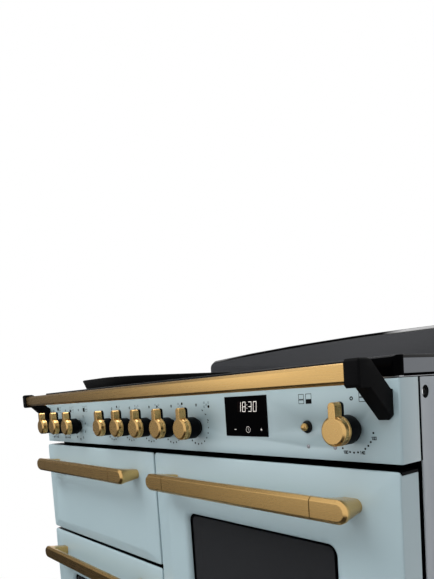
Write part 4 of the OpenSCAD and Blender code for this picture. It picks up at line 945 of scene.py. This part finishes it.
def handle(name, node, cx, z0, h, body):
    """A door's handle; z0 and h are the door's bottom edge and its height."""
    drop, half, r0, split, gap = 46, 229, 15.5, 171, 1.3
    cz = z0 + h - drop

    def stadium(y, inset):
        r = r0 - inset
        reach = half - r0
        arc = [math.radians(-90 + 180 * k / 18) for k in range(19)]
        return ([(cx + reach + r * math.cos(a), y, cz + r * math.sin(a)) for a in arc] +
                [(cx - reach - r * math.cos(a), y, cz - r * math.sin(a)) for a in arc])

    section = [(-57, 5.2), (-57, 4.5), (-56.92, 4.1), (-56.7, 3.75), (-56.45, 3.5), (-53.5, 0.55), (-53.25, 0.3),
               (-52.95, 0.1), (-52.6, 0), (-52.2, 0), (-48.2, 0), (-47.8, 0.05), (-47.3, 0.3), (-47.0, 0.9)]
    parts = []
    for label, low, high in (("bar", -split, split), ("end_l", -half - 1, -split - gap),
                             ("end_r", split + gap, half + 1)):
        whole = skin(name + label, [stadium(y, inset) for y, inset in section], brass, ends=(True, True))
        shape = bmesh.new()
        shape.from_mesh(whole.data)
        for edge, toward in ((low, -1), (high, 1)):
            if abs(edge) > half:
                continue
            cut = bmesh.ops.bisect_plane(shape, geom=shape.verts[:] + shape.edges[:] + shape.faces[:],
                                         plane_co=((cx + edge) * MM, 0, 0), plane_no=(toward, 0, 0), clear_outer=True)
            rim_edges = [e for e in cut["geom_cut"] if isinstance(e, bmesh.types.BMEdge)]
            bmesh.ops.holes_fill(shape, edges=rim_edges, sides=0)
        bmesh.ops.recalc_face_normals(shape, faces=shape.faces)
        shape.to_mesh(whole.data)
        shape.free()
        smooth_by_angle(whole.data, 30)
        parts.append(whole)
    for s in (-1, 1):
        x0, x1 = sorted((cx + s * (split - 3), cx + s * (split + 4)))
        parts.append(skin(name + "joint", [
            [(x, y, cz + z) for y, z in ((-54.6, -9), (-51, -14), (-48, -14), (-48, 14), (-51, 14), (-54.6, 9))]
            for x in (x0, x1)], black_plastic, ends=(True, True)))
    for s in (-1, 1):
        rings = []
        for y in [-47.6, -46.9] + [-46.0 + k * 1.2 for k in range(9)] + [-33, -28, -22, -16, -12.5, -10.5, -9.3, -8.7]:
            t = min(1.0, max(0.0, (y + 47.0) / 10.5))
            flare = 10.5 * (1 - math.sqrt(max(0.0, 1 - (1 - t) ** 2)))
            down = (y + 47.6) / 38.9
            foot = max(0.0, (y + 11.5) / 2.8) ** 2 * 0.5
            r = 15.0 - 5.4 * down + foot
            x_out, x_in = 213.2 - 5.0 * down, 188 - flare - foot
            lift = -1.0 * down
            arc = [math.radians(-90 + 180 * k / 14) for k in range(15)]
            ring = [(x_out + r * math.cos(a), r * math.sin(a)) for a in arc]
            ring += [(x_in + 2.2, r), (x_in + 0.7, r - 0.6), (x_in, r - 2.2), (x_in, -r + 2.2), (x_in + 0.7, -r + 0.6),
                     (x_in + 2.2, -r)]
            rings.append([(cx + s * x, y, cz + z + lift) for x, z in ring])
        parts.append(skin(name + "post", rings, brass, ends=(True, True)))
    return stand_for(joined(name, parts), [node], body)


for node, cx, z0, h, body, window in doors:
    handle(node + "_grip", node + "_handle", cx, z0, h, body)
handle("drawer_grip", "drawer_handle", 273.5, 136, short_h, "storage_drawer")

# Door glass: dark tinted panes; the woven rope seals lie behind them on the frame.
# The panes are held behind the rolled-in edge of each oven door's window.
pane = surface("dark_tinted_pane", tone(44, 45, 47), tone(48, 49, 51), scale=4, rough=(0.08, 0.12), specular=0.3)
pane.node_tree.nodes["Principled BSDF"].inputs["Alpha"].default_value = 0.8
dress("left_door_panes", pane)
dress("right_door_panes", pane)
rope = surface("woven_rope_seal", tone(110, 108, 104), tone(150, 148, 142), scale=500, rough=(0.8, 0.9), bump=0.8,
               bump_scale=900)
dress("door_seals", rope)

# Ovens and grill: pressed cavities with baked dark enamel, bright wire racks and dull heating tubes.
# The fans behind the ovens' covers are of galvanised sheet.
cavity_enamel = surface("dark_cavity_enamel", tone(34, 37, 42), tone(48, 51, 57), scale=300, rough=(0.22, 0.34),
                        coat=0.2)
wire = surface("bright_wire", tone(190, 192, 194), tone(214, 216, 218), scale=60, metallic=1.0, rough=(0.16, 0.26))
dull_tube = surface("dull_heating_tube", tone(70, 66, 62), tone(96, 90, 84), scale=80, metallic=0.9,
                    rough=(0.45, 0.6))
for node in ("grill_cavity", "oven_cavity_left", "oven_cavity_right", "fan_covers", "grill_pan"):
    dress(node, cavity_enamel)
for node in ("shelf_racks", "shelf_left", "shelf_right"):
    dress(node, wire)
dress("heating_elements", dull_tube)
dress("fan_left", galvanised)
dress("fan_right", galvanised)
